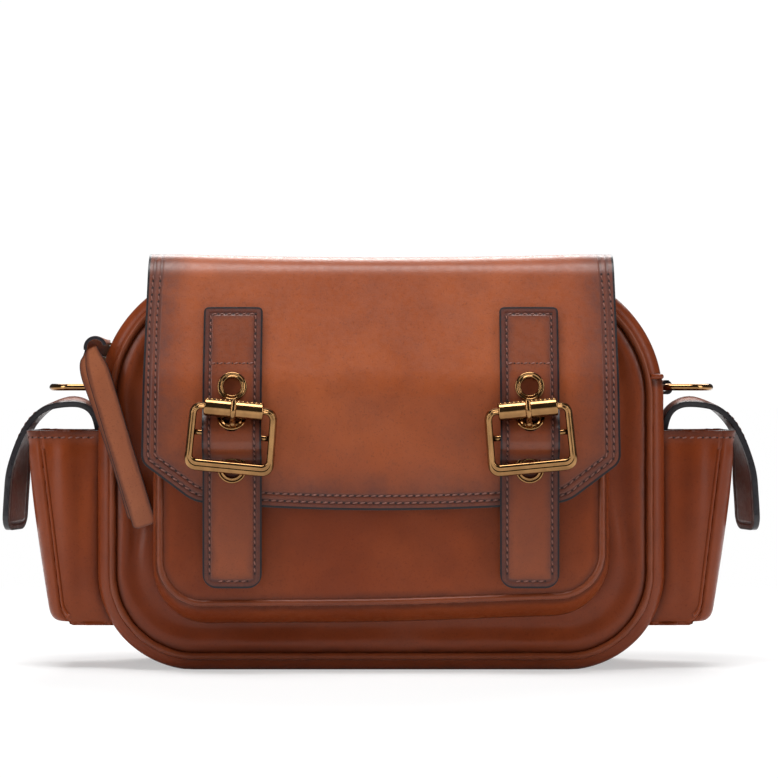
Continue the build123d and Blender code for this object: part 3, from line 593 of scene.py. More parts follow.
def steps_to(low, high, count, ease=1.0):
    """Values from low to high, closer together near both ends when ease is over 1."""
    t = np.linspace(-1, 1, count)
    t = np.sign(t) * (1 - (1 - np.abs(t)) ** ease)
    return low + (high - low) * (t + 1) / 2


# ---- main body ----
def body_run(inset=0.0, count=360):
    """The body outline in (x, z) from the bottom middle to the right and round, and its normals."""
    half = BODY_HALF - inset
    low, top = inset, BODY_TOP - inset
    corners = [(0, low), (half, low), (half, top), (-half, top), (-half, low), (0, low)]
    radii = (LOW_RADIUS - inset, TOP_RADIUS - inset, TOP_RADIUS - inset, LOW_RADIUS - inset)
    run = resample(filleted(corners, radii, 0.5), count + 1)[:-1]
    return run, right_of(unit(np.roll(run, -1, 0) - np.roll(run, 1, 0)))


def body_panel(name, node, face_y, direction, puff):
    """A panel inside its piping, puffed away from the body and turned in at the seam."""
    run, _ = body_run(PIPING_INSET + 0.6)
    target = inner_line(run)
    shares = np.concatenate([[0, 0.008, 0.018], np.linspace(0.032, 0.45, 26),
                             np.linspace(0.5, 1, 9)])
    rows, edge = [], []
    reach = np.linalg.norm(run - target, axis=1)
    for share in shares:
        flat = run + (target - run) * share
        depth = reach * share
        rise = -1.3 * np.exp(-depth / 1.6) + puff * (1 - np.exp(-depth / 18.0))
        rise += 0.35 * wobble(flat[:, 0], flat[:, 1], 2) * (1 - np.exp(-depth / 15.0))
        strength = 0.75 + 0.45 * wobble(flat[:, 0] * 1.4, flat[:, 1] * 1.2, 8)
        rise += strength * (0.9 * np.exp(-((depth - 5.0) / 3.2) ** 2)
                            - 0.75 * np.exp(-((depth - 12.5) / 3.6) ** 2)
                            + 0.5 * np.exp(-((depth - 19.0) / 4.0) ** 2))
        rows.append(points_of(flat[:, 0], face_y + direction * rise, flat[:, 1]))
        edge.append(depth)
    faces = grid_faces(len(shares), len(run), False, True, direction > 0)
    obj = make_object(name, np.concatenate(rows), faces, [body_leather], edge)
    weld(obj)
    thicken(obj, BODY_LEATHER)
    fit_to(obj, "bag", node)


def piping(name, node, y):
    """The covered bead in a panel's seam. It is a little uneven, as leather over a cord is."""
    run, _ = body_run(PIPING_INSET - 0.4, 420)
    points = points_of(run[:, 0], y, run[:, 1])
    travel = np.arange(len(run))
    radius = PIPING_RADIUS + 0.06 * np.sin(travel * 0.9) + 0.05 * np.sin(travel * 0.37)
    fit_to(tube(name, points, radius, trim_leather, True), "bag", node)


def bulge_at(z):
    """Middle bulge of a side wall at a height. The wall lies flatter under the D-rings."""
    return GUSSET_BULGE * np.clip(z / 14.0, 0, 1) * (
        1 - 0.8 * np.exp(-((z - RING_Z + 9.0) / 13.0) ** 2))


def bulge_across(y):
    """Share of the bulge between the two seams of the gusset."""
    return np.sin(np.pi * np.clip((y + GUSSET_Y) / (2 * GUSSET_Y), 0, 1)) ** 0.7


def side_bulge(run, across):
    """How far the gusset stands out between its seams: most on the side walls."""
    steep = np.clip(np.abs(run[:, 0]) - 85, 0, 30) / 30
    return (steep * bulge_at(run[:, 1]))[:, None] * bulge_across(across)[None, :]


def gusset_roll(y):
    """How far the gusset has turned in over the piping, by its place between the panels."""
    over = np.clip((np.abs(y) - (GUSSET_Y - ROLL_DEPTH)) / ROLL_DEPTH, 0, 1)
    return -ROLL * (1 - np.sqrt(1 - 0.985 * over ** 2))


def gusset_strip(name, node, keep, y_low, y_high, extra=0.0):
    """The part of the gusset whose outline points are kept, between two depths."""
    run, out = body_run(0.0, 520)
    order = np.where(keep(run))[0]
    gaps = np.where(np.diff(order) > 1)[0]
    if len(gaps):
        order = np.concatenate([order[gaps[0] + 1:], order[:gaps[0] + 1]])
    run, out = run[order], out[order]
    across = steps_to(y_low, y_high, 40, 1.9)
    stand = side_bulge(run, across) + gusset_roll(across)[None, :] + extra
    grid = points_of(run[:, 0:1] + out[:, 0:1] * stand, across[None, :],
                     np.maximum(run[:, 1:2] + out[:, 1:2] * stand, 0.02))
    from_ends = np.minimum(np.abs(run[:, 1] - SEAM_Z), 40)
    edge = np.repeat(from_ends[:, None], len(across), 1)
    middle = out[len(run) // 2]
    obj = sheet_object(name, grid, [body_leather, edge_paint], BODY_LEATHER, edge,
                       (middle[0], 0.0, middle[1]))
    fit_to(obj, "bag", node)


def wall_x(z):
    """x of the body's right side wall at a height."""
    if z > CORNER_Z:
        return CORNER_X + math.sqrt(max(0.0, TOP_RADIUS ** 2 - (z - CORNER_Z) ** 2))
    if z < LOW_RADIUS:
        return BODY_HALF - LOW_RADIUS + math.sqrt(
            max(0.0, LOW_RADIUS ** 2 - (LOW_RADIUS - z) ** 2))
    return BODY_HALF


def build_body():
    body_panel("front_panel_leather", "front_panel", PANEL_Y, -1, 1.0)
    body_panel("back_panel_leather", "back_panel", -PANEL_Y, 1, 2.2)
    piping("front_piping_bead", "front_piping", PIPING_Y)
    piping("back_piping_bead", "back_piping", -PIPING_Y)
    gusset_strip("gusset_leather", "lower_gusset", lambda run: run[:, 1] < SEAM_Z + 1.5,
                 -GUSSET_Y, GUSSET_Y, OVERLAP_STAND)
    gusset_strip("zip_gusset_front", "upper_gusset_front", lambda run: run[:, 1] > SEAM_Z - 3.0,
                 -GUSSET_Y, -TAPE_HALF)
    gusset_strip("zip_gusset_back", "upper_gusset_back", lambda run: run[:, 1] > SEAM_Z - 3.0,
                 TAPE_HALF, GUSSET_Y)
    run, out = body_run(0.0, 520)
    top = run[:, 1] > SEAM_Z + 2
    lines = [(points_of(run[top, 0], y, run[top, 1]), points_of(out[top, 0], 0.0, out[top, 1]))
             for y in (-TAPE_HALF - 2.4, TAPE_HALF + 2.4)]
    stitch_object("zip_seam_stitches", lines, "bag")
    fold_z = SEAM_Z + 1.4
    row_z = SEAM_Z - 2.2
    lines = []
    for side, sign in SIDES:
        ys = np.linspace(-GUSSET_Y, GUSSET_Y, 80)
        stand = bulge_at(SEAM_Z) * bulge_across(ys) + gusset_roll(ys)
        points = points_of(sign * (wall_x(fold_z) + stand + 0.1), ys, fold_z)
        fit_to(tube("gusset_fold_" + side, points, 1.15, body_leather, False, (0.0, 0.0, 1.0)),
               "bag")
        ys = np.linspace(-GUSSET_Y + 6, GUSSET_Y - 6, 40)
        stand = OVERLAP_STAND + bulge_at(row_z) * bulge_across(ys)
        lines.append((points_of(sign * (wall_x(row_z) + stand), ys, row_z), (sign, 0.0, 0.0)))
    stitch_object("gusset_end_stitches", lines, "bag")


def build_lining():
    """Loose cloth lining seen through the open zip."""
    run, out = body_run(2.6, 300)
    across = steps_to(-GUSSET_Y + 1.6, GUSSET_Y - 1.6, 30, 1.4)
    depth = 0.5 + 0.35 * wobble(run[:, 0:1] * 2, across[None, :] * 3, 5)
    grid = points_of(run[:, 0:1] - out[:, 0:1] * depth, across[None, :],
                     run[:, 1:2] - out[:, 1:2] * depth)
    kept = []
    for face in grid_faces(len(run), len(across), True, False):
        over_zip = all(run[index // len(across), 1] > SEAM_Z for index in face)
        widest = max(abs(across[index % len(across)]) for index in face)
        if not (over_zip and widest < TAPE_HALF - 1):
            kept.append(face)
    fit_to(make_object("lining_wall_cloth", grid.reshape(-1, 3), kept, [lining_cloth]),
           "bag", "lining")
    run, _ = body_run(2.8, 200)
    target = inner_line(run)
    shares = np.linspace(0, 1, 16)
    for sign, name in ((-1, "lining_front_cloth"), (1, "lining_back_cloth")):
        rows = []
        for share in shares:
            flat = run + (target - run) * share
            ripple = 0.4 * wobble(flat[:, 0] * 2, flat[:, 1] * 2, 7) * share
            rows.append(points_of(flat[:, 0], sign * (GUSSET_Y - 2.0 - 0.8 * share) + ripple,
                                  flat[:, 1]))
        faces = grid_faces(len(shares), len(run), False, True, sign < 0)
        lining = make_object(name, np.concatenate(rows), faces, [lining_cloth])
        weld(lining)
        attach(lining, "bag")


# ---- flap ----
FLAP_TURN_Y = -43.4
FLAP_SLOPE_Z = 123.0
FLAP_PATH = filleted(
    [(FLAP_REAR, FLAP_REAR_LOW), (FLAP_REAR, FLAP_TOP), (FLAP_TURN_Y, FLAP_TOP),
     (FLAP_FRONT, FLAP_SLOPE_Z), (FLAP_FRONT, 60.0)],
    (9.0, 14.0, 35.0), 0.6)
FLAP_RUN = path_lengths(FLAP_PATH)
FAR_UP = 400.0


def flap_outline():
    """The flap's lower edge in (x, z) from the left side, round the corners, to the right."""
    xs = np.linspace(-FLAP_DIAGONAL_X, FLAP_DIAGONAL_X, 41)
    sag = FLAP_LOW_Z + (FLAP_DIAGONAL_Z - FLAP_LOW_Z) * (xs / FLAP_DIAGONAL_X) ** 2
    left = filleted([(-FLAP_HALF_LOW, 150.0), (-FLAP_HALF_LOW, FLAP_CORNER_Z),
                     (-FLAP_DIAGONAL_X, FLAP_DIAGONAL_Z), (xs[5], sag[5])], (7.0, 16.0), 0.6)
    right = left[::-1] * (-1.0, 1.0)
    middle = np.stack([xs[6:-6], sag[6:-6]], 1)
    return np.vstack([left, middle, right])


FLAP_EDGE = flap_outline()


def flap_low_z(x):
    """Height of the flap's lower edge at a width."""
    low = FLAP_EDGE[np.abs(FLAP_EDGE[:, 0]) < FLAP_HALF_LOW - 0.001]
    return np.interp(x, low[:, 0], low[:, 1])


def flap_dip(x, y, z):
    """The flap hollows a little over the zip and bellies a little between the straps."""
    top = np.clip((z - FLAP_TOP + 6) / 6, 0, 1)
    dip = -1.3 * top * np.clip(1 - (x / 85.0) ** 2, 0, 1)
    free = np.clip((np.abs(np.abs(x) - STRAP_X) - 19) / 12, 0, 1)
    belly = 0.55 * wobble(x, z, 3) * free * np.clip((-44 - y) / 14, 0, 1)
    return dip, belly


def flap_edge_distance(x, z):
    """Distance of flat points to the flap's sides and lower edge."""
    runs = np.vstack([[(-FLAP_HALF_LOW, FAR_UP)], FLAP_EDGE, [(FLAP_HALF_LOW, FAR_UP)]])
    nearest = np.full(x.shape, 1e9)
    for start, end in zip(runs[:-1], runs[1:]):
        along = end - start
        share = ((x - start[0]) * along[0] + (z - start[1]) * along[1]) / np.dot(along, along)
        share = np.clip(share, 0, 1)
        gap = np.hypot(x - start[0] - along[0] * share, z - start[1] - along[1] * share)
        nearest = np.minimum(nearest, gap)
    return nearest


def flap_sheet(name, inset, wall, material, *replaced):
    """One layer of the flap, from its rear seam over the top to its lower edge in front."""
    columns = steps_to(-1, 1, 141, 1.6)
    rows = steps_to(0, 1, 170, 1.15)
    inner_path = offset_run(FLAP_PATH, -inset)
    grid = np.zeros((len(rows), len(columns), 3))
    edge = np.zeros((len(rows), len(columns)))
    front = np.where(FLAP_PATH[:, 0] < 0)[0][::-1]
    for c, u in enumerate(columns):
        low_z = flap_low_z(u * FLAP_HALF_LOW)
        s = rows * np.interp(low_z, FLAP_PATH[front, 1], FLAP_RUN[front])
        y, z = read_off(s, FLAP_RUN, inner_path).T
        outer_z = np.interp(s, FLAP_RUN, FLAP_PATH[:, 1])
        half = FLAP_HALF_TOP + (FLAP_HALF_LOW - FLAP_HALF_TOP) * np.clip(
            (FLAP_TOP - outer_z) / (FLAP_TOP - FLAP_CORNER_Z), 0, 1) * (y < 0)
        x = u * half
        dip, belly = flap_dip(x, y, outer_z)
        grid[:, c] = points_of(x, y - belly, z + dip)
        front_z = np.where(y < 0, outer_z, FAR_UP)
        edge[:, c] = flap_edge_distance(np.full(len(rows), u * FLAP_HALF_LOW), front_z)
        edge[:, c] = np.where(s < 40, np.minimum(edge[:, c], s), edge[:, c])
    obj = sheet_object(name, grid, [material, edge_paint], wall, edge, (0.0, -0.5, 1.0))
    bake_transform(obj)
    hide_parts(*replaced)


def flap_point(x, z, stand):
    """A point on the flap's outer face in front, with its outward normal."""
    front = FLAP_PATH[FLAP_PATH[:, 0] < -20][::-1]
    step = 0.8
    y_low, y, y_up = np.interp((z - step, z, z + step), front[:, 1], front[:, 0])
    normal = unit(np.array([0.0, -2 * step, y_up - y_low]))
    _, belly = flap_dip(x, y, z)
    return np.array([x, y - belly, z]) + normal * stand, normal


def row_of(pairs):
    """A row of stitches from (point, normal) pairs."""
    return np.array([point for point, _ in pairs]), np.array([normal for _, normal in pairs])


def build_flap():
    flap_sheet("flap_leather_outer", 0.0, FLAP_LEATHER, flap_leather, "flap", "flap_rear")
    flap_sheet("flap_lining_inner", FLAP_LEATHER + 0.05, FLAP_LINING, suede,
               "flap_lining", "flap_rear_lining")
    lines = []
    for row in FLAP_ROWS:
        inner = offset_run(FLAP_EDGE, -row)
        left_top = [(inner[0, 0] + 1.2, 170.0)]
        right_top = [(inner[-1, 0] - 1.2, 170.0)]
        dense = resample(np.vstack([left_top, inner, right_top]), 420)
        lines.append(row_of([flap_point(x, z, 0.05) for x, z in dense]))
    stitch_object("flap_stitches", lines, "flap")
    lines = [(points_of(np.linspace(-96, 96, 60), FLAP_REAR + 0.05, FLAP_REAR_LOW + up),
              (0.0, 1.0, 0.0)) for up in (2.4, 5.4)]
    stitch_object("flap_rear_stitches", lines, "bag")


# ---- straps, eyelets and buckles ----
# the strap rises over the buckle's centre bar and comes back to the flap below it
RISE = 6.4
RISE_HIGH = BAR_Z + 1.5
RISE_LOW = BAR_Z - 3.5
STRAP_PATH = filleted(
    [(FLAP_TURN_Y + 30, FLAP_TOP), (FLAP_TURN_Y, FLAP_TOP), (FLAP_FRONT, FLAP_SLOPE_Z),
     (FLAP_FRONT, RISE_HIGH + 9.6), (FLAP_FRONT - RISE, RISE_HIGH),
     (FLAP_FRONT - RISE, RISE_LOW), (FLAP_FRONT, RISE_LOW - 6.0), (FLAP_FRONT, 30.0)],
    (14.0, 35.0, 5.0, 2.0, 2.0, 5.0), 0.35)
STRAP_RUN = path_lengths(STRAP_PATH)


def strap_run_at(z):
    """How far along the strap path a height lies, on the path's front part."""
    front = np.where(STRAP_PATH[:, 0] < -42)[0][::-1]
    return np.interp(z, STRAP_PATH[front, 1], STRAP_RUN[front])


def strap_at(s, stand):
    """Points (y, z) standing off the strap path at runs along it, with their normals."""
    tangent = unit(read_off(s + 0.5, STRAP_RUN, STRAP_PATH)
                   - read_off(s - 0.5, STRAP_RUN, STRAP_PATH))
    normal = np.stack([tangent[..., 1], -tangent[..., 0]], -1)
    return read_off(s, STRAP_RUN, STRAP_PATH) + normal * stand, normal


def strap_piece(side, centre):
    """A strap on the flap, with its rounded ends, eyelet holes and stitches."""
    half = STRAP_WIDTH / 2
    xs = steps_to(-half, half, 25, 1.7)
    rows = steps_to(0, 1, 230, 1.2)
    grid = np.zeros((len(rows), len(xs), 3))
    edge = np.zeros((len(rows), len(xs)))
    for c, x in enumerate(xs):
        low = STRAP_LOW + corner_cut(half - abs(x), STRAP_LOW_CORNER)
        top = STRAP_TOP - corner_cut(half - abs(x), STRAP_TOP_CORNER)
        s_top, s_low = strap_run_at(top), strap_run_at(low)
        s = s_top + (s_low - s_top) * rows
        crown = 0.35 * (1 - (abs(x) / half) ** 3)
        place, _ = strap_at(s, STRAP_WALL - 0.15 + crown)
        grid[:, c] = points_of(centre + x, place[:, 0], place[:, 1])
        edge[:, c] = np.minimum(half - abs(x), np.minimum(s - s_top, s_low - s))
    obj = sheet_object("strap_leather_" + side, grid, [strap_leather, edge_paint],
                       STRAP_WALL - 0.2, edge, (0.0, -1.0, 0.3), 0.5)
    cut_holes(obj, centre)
    fit_to(obj, "flap", "strap_" + side)
    s_top, s_low = strap_run_at(STRAP_TOP - STRAP_ROW), strap_run_at(STRAP_LOW + STRAP_ROW)
    place, normal = strap_at(np.linspace(s_top, s_low - 3.2, 150), STRAP_WALL + 0.12)
    lines = [(points_of(centre + sign * (half - STRAP_ROW), place[:, 0], place[:, 1]),
              points_of(0.0, normal[:, 0], normal[:, 1])) for sign in (-1, 1)]
    for s, wide in ((s_top, half - STRAP_ROW), (strap_run_at(STRAP_CROSS_Z), half - STRAP_ROW),
                    (s_low, half - STRAP_LOW_CORNER)):
        place, normal = strap_at(s, STRAP_WALL + 0.15)
        points = points_of(centre + np.linspace(-wide, wide, 20), place[0], place[1])
        lines.append((points, (0.0, normal[0], normal[1])))
    stitch_object("strap_stitches_" + side, lines, "flap", *FINE_STITCH)


def corner_cut(from_side, radius):
    """How far a rounded corner has drawn in the end of a strip, by the distance to its side."""
    over = np.clip(radius - from_side, 0.0, radius)
    return radius - np.sqrt(radius ** 2 - over ** 2)


def cut_holes(obj, centre):
    """Punches a strap's round eyelet holes straight through it."""
    for height in EYELET_HEIGHTS:
        bpy.ops.mesh.primitive_cylinder_add(
            vertices=40, radius=EYELET_CUT * MM, depth=0.05,
            location=(centre * MM, -0.066, height * MM), rotation=(math.pi / 2, 0, 0))
        cutter = bpy.context.object
        cut = obj.modifiers.new("hole", "BOOLEAN")
        cut.operation = "DIFFERENCE"
        cut.solver = "EXACT"
        cut.object = cutter
        apply_modifiers(obj)
        bpy.data.objects.remove(cutter)
    for polygon in obj.data.polygons:
        polygon.use_smooth = True


def round_off(obj):
    """One level of subdivision for a small cast piece."""
    smooth = obj.modifiers.new("smooth", "SUBSURF")
    smooth.levels = 1
    smooth.render_levels = 1


def apply_modifiers(obj):
    depsgraph = bpy.context.evaluated_depsgraph_get()
    mesh = bpy.data.meshes.new_from_object(obj.evaluated_get(depsgraph))
    obj.modifiers.clear()
    obj.data = mesh


def eyelets(side, centre):
    """A strap's three eyelets, each a turned ring with a rolled rim."""
    for index, height in enumerate(EYELET_HEIGHTS):
        place, normal = strap_at(strap_run_at(height), STRAP_WALL)
        profile = [(6.15, -0.2), (6.2, 0.25), (6.0, 0.62), (5.6, 0.72), (5.25, 0.52),
                   (4.95, 0.38), (4.7, 0.52), (4.45, 0.86), (4.15, 0.98), (3.88, 0.80),
                   (3.75, 0.40), (3.7, -2.2), (4.2, -2.2), (4.3, -0.3)]
        ring = lathe("eyelet_%s_%d" % (side, index + 1), profile,
                     (centre, place[0], place[1]), (0.0, normal[0], normal[1]), gold, 56)
        fit_to(ring, "flap", "eyelets_" + side)


def tilt_place(sign, x, y, z):
    """A point of a buckle drawn upright about its centre bar, turned to where it hangs."""
    dz = z - BAR_Z
    angle = -sign * TILT
    return (sign * STRAP_X + x * math.cos(angle) + dz * math.sin(angle), y,
            BAR_Z - x * math.sin(angle) + dz * math.cos(angle))


def buckle(side, sign):
    """Buckle frame, its centre bar and the two lugs that hold the bar."""
    lean = (ROLLER_Y - BUCKLE_LOW_Y) / (ROLLER_Z - BUCKLE_LOW_Z)
    corners = [(0, BUCKLE_LOW_Z), (BUCKLE_LOW_HALF, BUCKLE_LOW_Z),
               (BUCKLE_TOP_HALF, BUCKLE_TOP_Z), (-BUCKLE_TOP_HALF, BUCKLE_TOP_Z),
               (-BUCKLE_LOW_HALF, BUCKLE_LOW_Z), (0, BUCKLE_LOW_Z)]
    run = resample(filleted(corners, (3.6, 3.4, 3.4, 3.6), 0.4), 201)[:-1]
    points = np.array([tilt_place(sign, x, BUCKLE_LOW_Y + lean * (z - BUCKLE_LOW_Z), z)
                       for x, z in run])
    width = 1.65 + 0.95 * np.exp(-((run[:, 1] - BUCKLE_LOW_Z) / 2.2) ** 2)
    width[run[:, 1] > BUCKLE_TOP_Z - 0.4] = 1.5
    across, normal = frames_along(points, True, FORWARD)
    # the bar's section, from its outer side over a small step at the front to its inner side
    section = [(-1.0, 0.10), (-0.93, 0.55), (-0.72, 0.86), (-0.45, 1.0), (-0.16, 0.90),
               (0.02, 0.62), (0.12, 0.60), (0.26, 0.72), (0.42, 0.66), (0.86, 0.02),
               (1.0, -0.22), (0.98, -0.62), (0.78, -0.92), (0.30, -1.0), (-0.40, -1.0),
               (-0.84, -0.85), (-1.0, -0.40)]
    outward = points - points.mean(axis=0)
    verts = []
    for point, s, n, w, away in zip(points, across, normal, width, outward):
        s = s if np.dot(s, away) > 0 else -s
        for a, b in section:
            verts.append(point + s * a * w + n * b * 1.6)
    faces = grid_faces(len(points), len(section), True, True)
    frame_piece = make_object("buckle_frame_bar_" + side, verts, faces, [gold])
    round_off(frame_piece)
    pieces = [frame_piece]
    bar_y = high_mm("buckle_prong_" + side)[1] - 1.9
    bar_run = [tilt_place(sign, x, bar_y, BAR_Z) for x in np.linspace(-16.6, 16.6, 12)]
    pieces.append(tube("buckle_centre_bar_" + side, bar_run, 1.2, gold, sides=16))
    for end in (-1, 1):
        lug_run = [tilt_place(sign, end * 16.5, y, BAR_Z)
                   for y in np.linspace(bar_y + 0.3, BUCKLE_LOW_Y + lean * 13.5, 6)]
        pieces.append(tube("buckle_lug_%s_%s" % (side, "in" if end * sign < 0 else "out"),
                           lug_run, 1.15, gold, False, (0.0, 0.0, 1.0)))
    for piece in pieces:
        fit_to(piece, "flap", "buckle_frame_" + side)
    build_roller(side, sign)
    build_prong(side, sign, bar_y)
    wear(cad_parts["buckle_chape_" + side], trim_leather)


def wear(obj, material):
    """Gives a CAD node its material."""
    obj.data.materials.clear()
    obj.data.materials.append(material)


def roller_axis(sign):
    """Middle of a buckle's roller, and the direction that it lies in."""
    axis_low = np.array(tilt_place(sign, -1, ROLLER_Y, ROLLER_Z))
    axis_high = np.array(tilt_place(sign, 1, ROLLER_Y, ROLLER_Z))
    return (axis_low + axis_high) / 2, (axis_high - axis_low) / 2


def build_roller(side, sign):
    """The sleeve on the buckle's top bar, with a row of small beads."""
    middle, axis = roller_axis(sign)
    half = ROLLER_HALF
    profile = [(3.3, -half), (ROLLER_EDGE, -half + 0.25), (ROLLER_SKIN, -half + 0.7)]
    profile += [(ROLLER_SKIN, h) for h in np.linspace(-half + 1.0, half - 1.0, 121)]
    profile += [(ROLLER_SKIN, half - 0.7), (ROLLER_EDGE, half - 0.25), (3.3, half)]
    profile += [(ROLLER_BORE, half), (ROLLER_BORE, -half)]
    roller = lathe("roller_sleeve_" + side, profile, middle, axis, gold, 64)
    forward = np.array(FORWARD)
    up = np.cross(axis, forward)
    up = up if up[2] > 0 else -up
    bead_line = up * math.sin(BEAD_ANGLE) + forward * math.cos(BEAD_ANGLE)
    verts, faces = [], []
    for height in np.linspace(-half + 1.3, half - 1.3, 13):
        centre = middle + axis * height + bead_line * 3.5
        start = len(verts)
        for lat in np.linspace(-math.pi / 2, math.pi / 2, 9):
            for lon in np.linspace(0, 2 * math.pi, 12, endpoint=False):
                ring = axis * math.cos(lon) + up * math.sin(lon)
                verts.append(centre + BEAD_RADIUS * (ring * math.cos(lat)
                                                     + forward * math.sin(lat)))
        faces += [tuple(start + i for i in face) for face in grid_faces(9, 12, False, True)]
    beads = make_object("roller_beads_" + side, verts, faces, [gold])
    for piece in (roller, beads):
        fit_to(piece, "roller_" + side, "buckle_roller_" + side)


def build_prong(side, sign, bar_y):
    """The prong, from its eye on the centre bar through an eyelet to the front of the roller."""
    tip_y = ROLLER_Y - 3.9 - 0.8 - 0.9
    route = [(bar_y, BAR_Z + 1.4), (bar_y - 0.9, BAR_Z + 3.9), (ROLLER_Y - 0.4, BAR_Z + 4.9),
             (tip_y - 0.4, ROLLER_Z - 1.95), (tip_y, ROLLER_Z + 4.4)]
    dense = resample(filleted(route, (1.2, 2.0, 3.0), 0.3), 60)
    points = np.array([tilt_place(sign, 0.0, y, z) for y, z in dense])
    radius = np.full(60, 1.12)
    radius[:22] = 1.55
    radius[22:26] = (1.45, 1.32, 1.22, 1.15)
    radius[-4:] = (1.05, 0.95, 0.8, 0.5)
    prong = tube("prong_pin_" + side, points, radius, gold, sides=16, flat=0.8)
    eye_profile = [(1.27, -1.55), (1.8, -1.55), (1.9, -1.4), (1.9, 1.4), (1.8, 1.55),
                   (1.27, 1.55)]
    eye = lathe("prong_eye_" + side, eye_profile, tilt_place(sign, 0.0, bar_y, BAR_Z),
                roller_axis(sign)[1], gold, 32)
    for piece in (prong, eye):
        fit_to(piece, "prong_" + side, "buckle_prong_" + side)


def build_straps():
    for side, sign in SIDES:
        strap_piece(side, sign * STRAP_X)
        eyelets(side, sign * STRAP_X)
        buckle(side, sign)


# ---- front pocket ----
def pocket_sag(points):
    """The soft pocket hangs a little lower at its left than at its right."""
    share = np.clip((POCKET_TOP - points[..., 2]) / (POCKET_TOP - POCKET_LOW), 0, 1)
    points[..., 2] += share * (0.021 * points[..., 0] - 0.5 * np.cos(points[..., 0] * 0.035))
    return points


def pocket_run(half, low, radius, step):
    """A U in (x, z) down the pocket's left side, along its bottom and up its right side."""
    corners = [(-half, POCKET_TOP), (-half, low), (half, low), (half, POCKET_TOP)]
    return filleted(corners, (radius, radius), step)


def build_front_pocket():
    half = POCKET_HALF - 1.2
    low = POCKET_LOW + 1.2
    radius = 18.8
    us = np.sin(np.linspace(-math.pi / 2, math.pi / 2, 91))
    rows = steps_to(0, 1, 60, 1.4)
    grid = np.zeros((len(rows), len(us), 3))
    edge = np.zeros((len(rows), len(us)))
    for c, u in enumerate(us):
        x = u * half
        bottom = low + corner_cut(half - abs(x), radius)
        z = POCKET_TOP + (bottom - POCKET_TOP) * rows
        centre_x = max(0.0, abs(x) - (half - radius))
        away = np.minimum(half - abs(x), z - low)
        corner = radius - np.hypot(np.minimum(centre_x, radius), np.maximum(0, low + radius - z))
        in_corner = (z < low + radius) & (abs(x) > half - radius)
        away = np.where(in_corner, corner, away)
        away = np.maximum(away, 0)
        puff = -1.0 * np.exp(-away / 1.6) + 0.9 * (1 - np.exp(-away / 16.0))
        puff += 0.3 * wobble(x, z, 11) * (1 - np.exp(-away / 12.0))
        puff *= np.clip((POCKET_TOP - z) / 10 + 0.2, 0.2, 1)
        grid[:, c] = points_of(x, POCKET_FACE - puff, z)
        edge[:, c] = away
    face = sheet_object("pocket_face_leather", pocket_sag(grid), [pocket_leather, edge_paint],
                        1.6, edge, FORWARD)
    fit_to(face, "bag", "pocket_front")

    run = pocket_run(POCKET_HALF - 1.4, POCKET_LOW + 1.4, 18.6, 0.8)
    points = points_of(run[:, 0], POCKET_FACE + 0.84, run[:, 1])
    radius = 1.42 + 0.05 * np.sin(np.arange(len(run)) * 0.8)
    fit_to(tube("pocket_piping_bead", pocket_sag(points), radius, trim_leather),
           "bag", "pocket_piping")

    front_run = resample(pocket_run(POCKET_HALF, POCKET_LOW, 20.0, 0.6), 260)
    seam_run = resample(pocket_run(POCKET_SEAM_HALF, POCKET_SEAM_LOW, 23.0, 0.6), 260)
    shares = steps_to(0, 1, 18, 1.5)
    grid = np.zeros((len(front_run), len(shares), 3))
    edge = np.zeros((len(front_run), len(shares)))
    depth = PANEL_Y - POCKET_FACE
    for k, share in enumerate(shares):
        flat = seam_run + (front_run - seam_run) * share
        swell = 1.2 * math.sin(math.pi * share) ** 0.8 - 0.7 * math.exp(-share * depth / 2.0)
        out = flat - np.stack([np.clip(flat[:, 0], -70, 70), np.clip(flat[:, 1], 55, 200)], 1)
        out /= np.maximum(np.linalg.norm(out, axis=1), 1e-6)[:, None]
        flat = flat + out * swell
        grid[:, k] = points_of(flat[:, 0], PANEL_Y - 0.4 - (depth - 1.2) * share, flat[:, 1])
        edge[:, k] = min(share, 1 - share) * depth
    gusset = sheet_object("pocket_gusset_leather", pocket_sag(grid),
                          [pocket_leather, edge_paint], 1.5, edge, (0.0, 0.0, -1.0))
    fit_to(gusset, "bag", "pocket_gusset")


# ---- side pockets and their straps ----
SIDE_HALF = 30.0
SIDE_RIM = 103.0
SIDE_LOW = 20.3
SIDE_CORNER = 7.0
SIDE_FOOT_Z = 26.0
SIDE_TURN = 27.0
SIDE_REACH_LOW = 22.5
SIDE_REACH_MORE = 9.5
SIDE_POINTS = 181


def side_share(z):
    """0 at the foot of a side pocket to 1 at its rim."""
    return float(np.clip((z - SIDE_FOOT_Z) / (SIDE_RIM - SIDE_FOOT_Z), 0, 1))


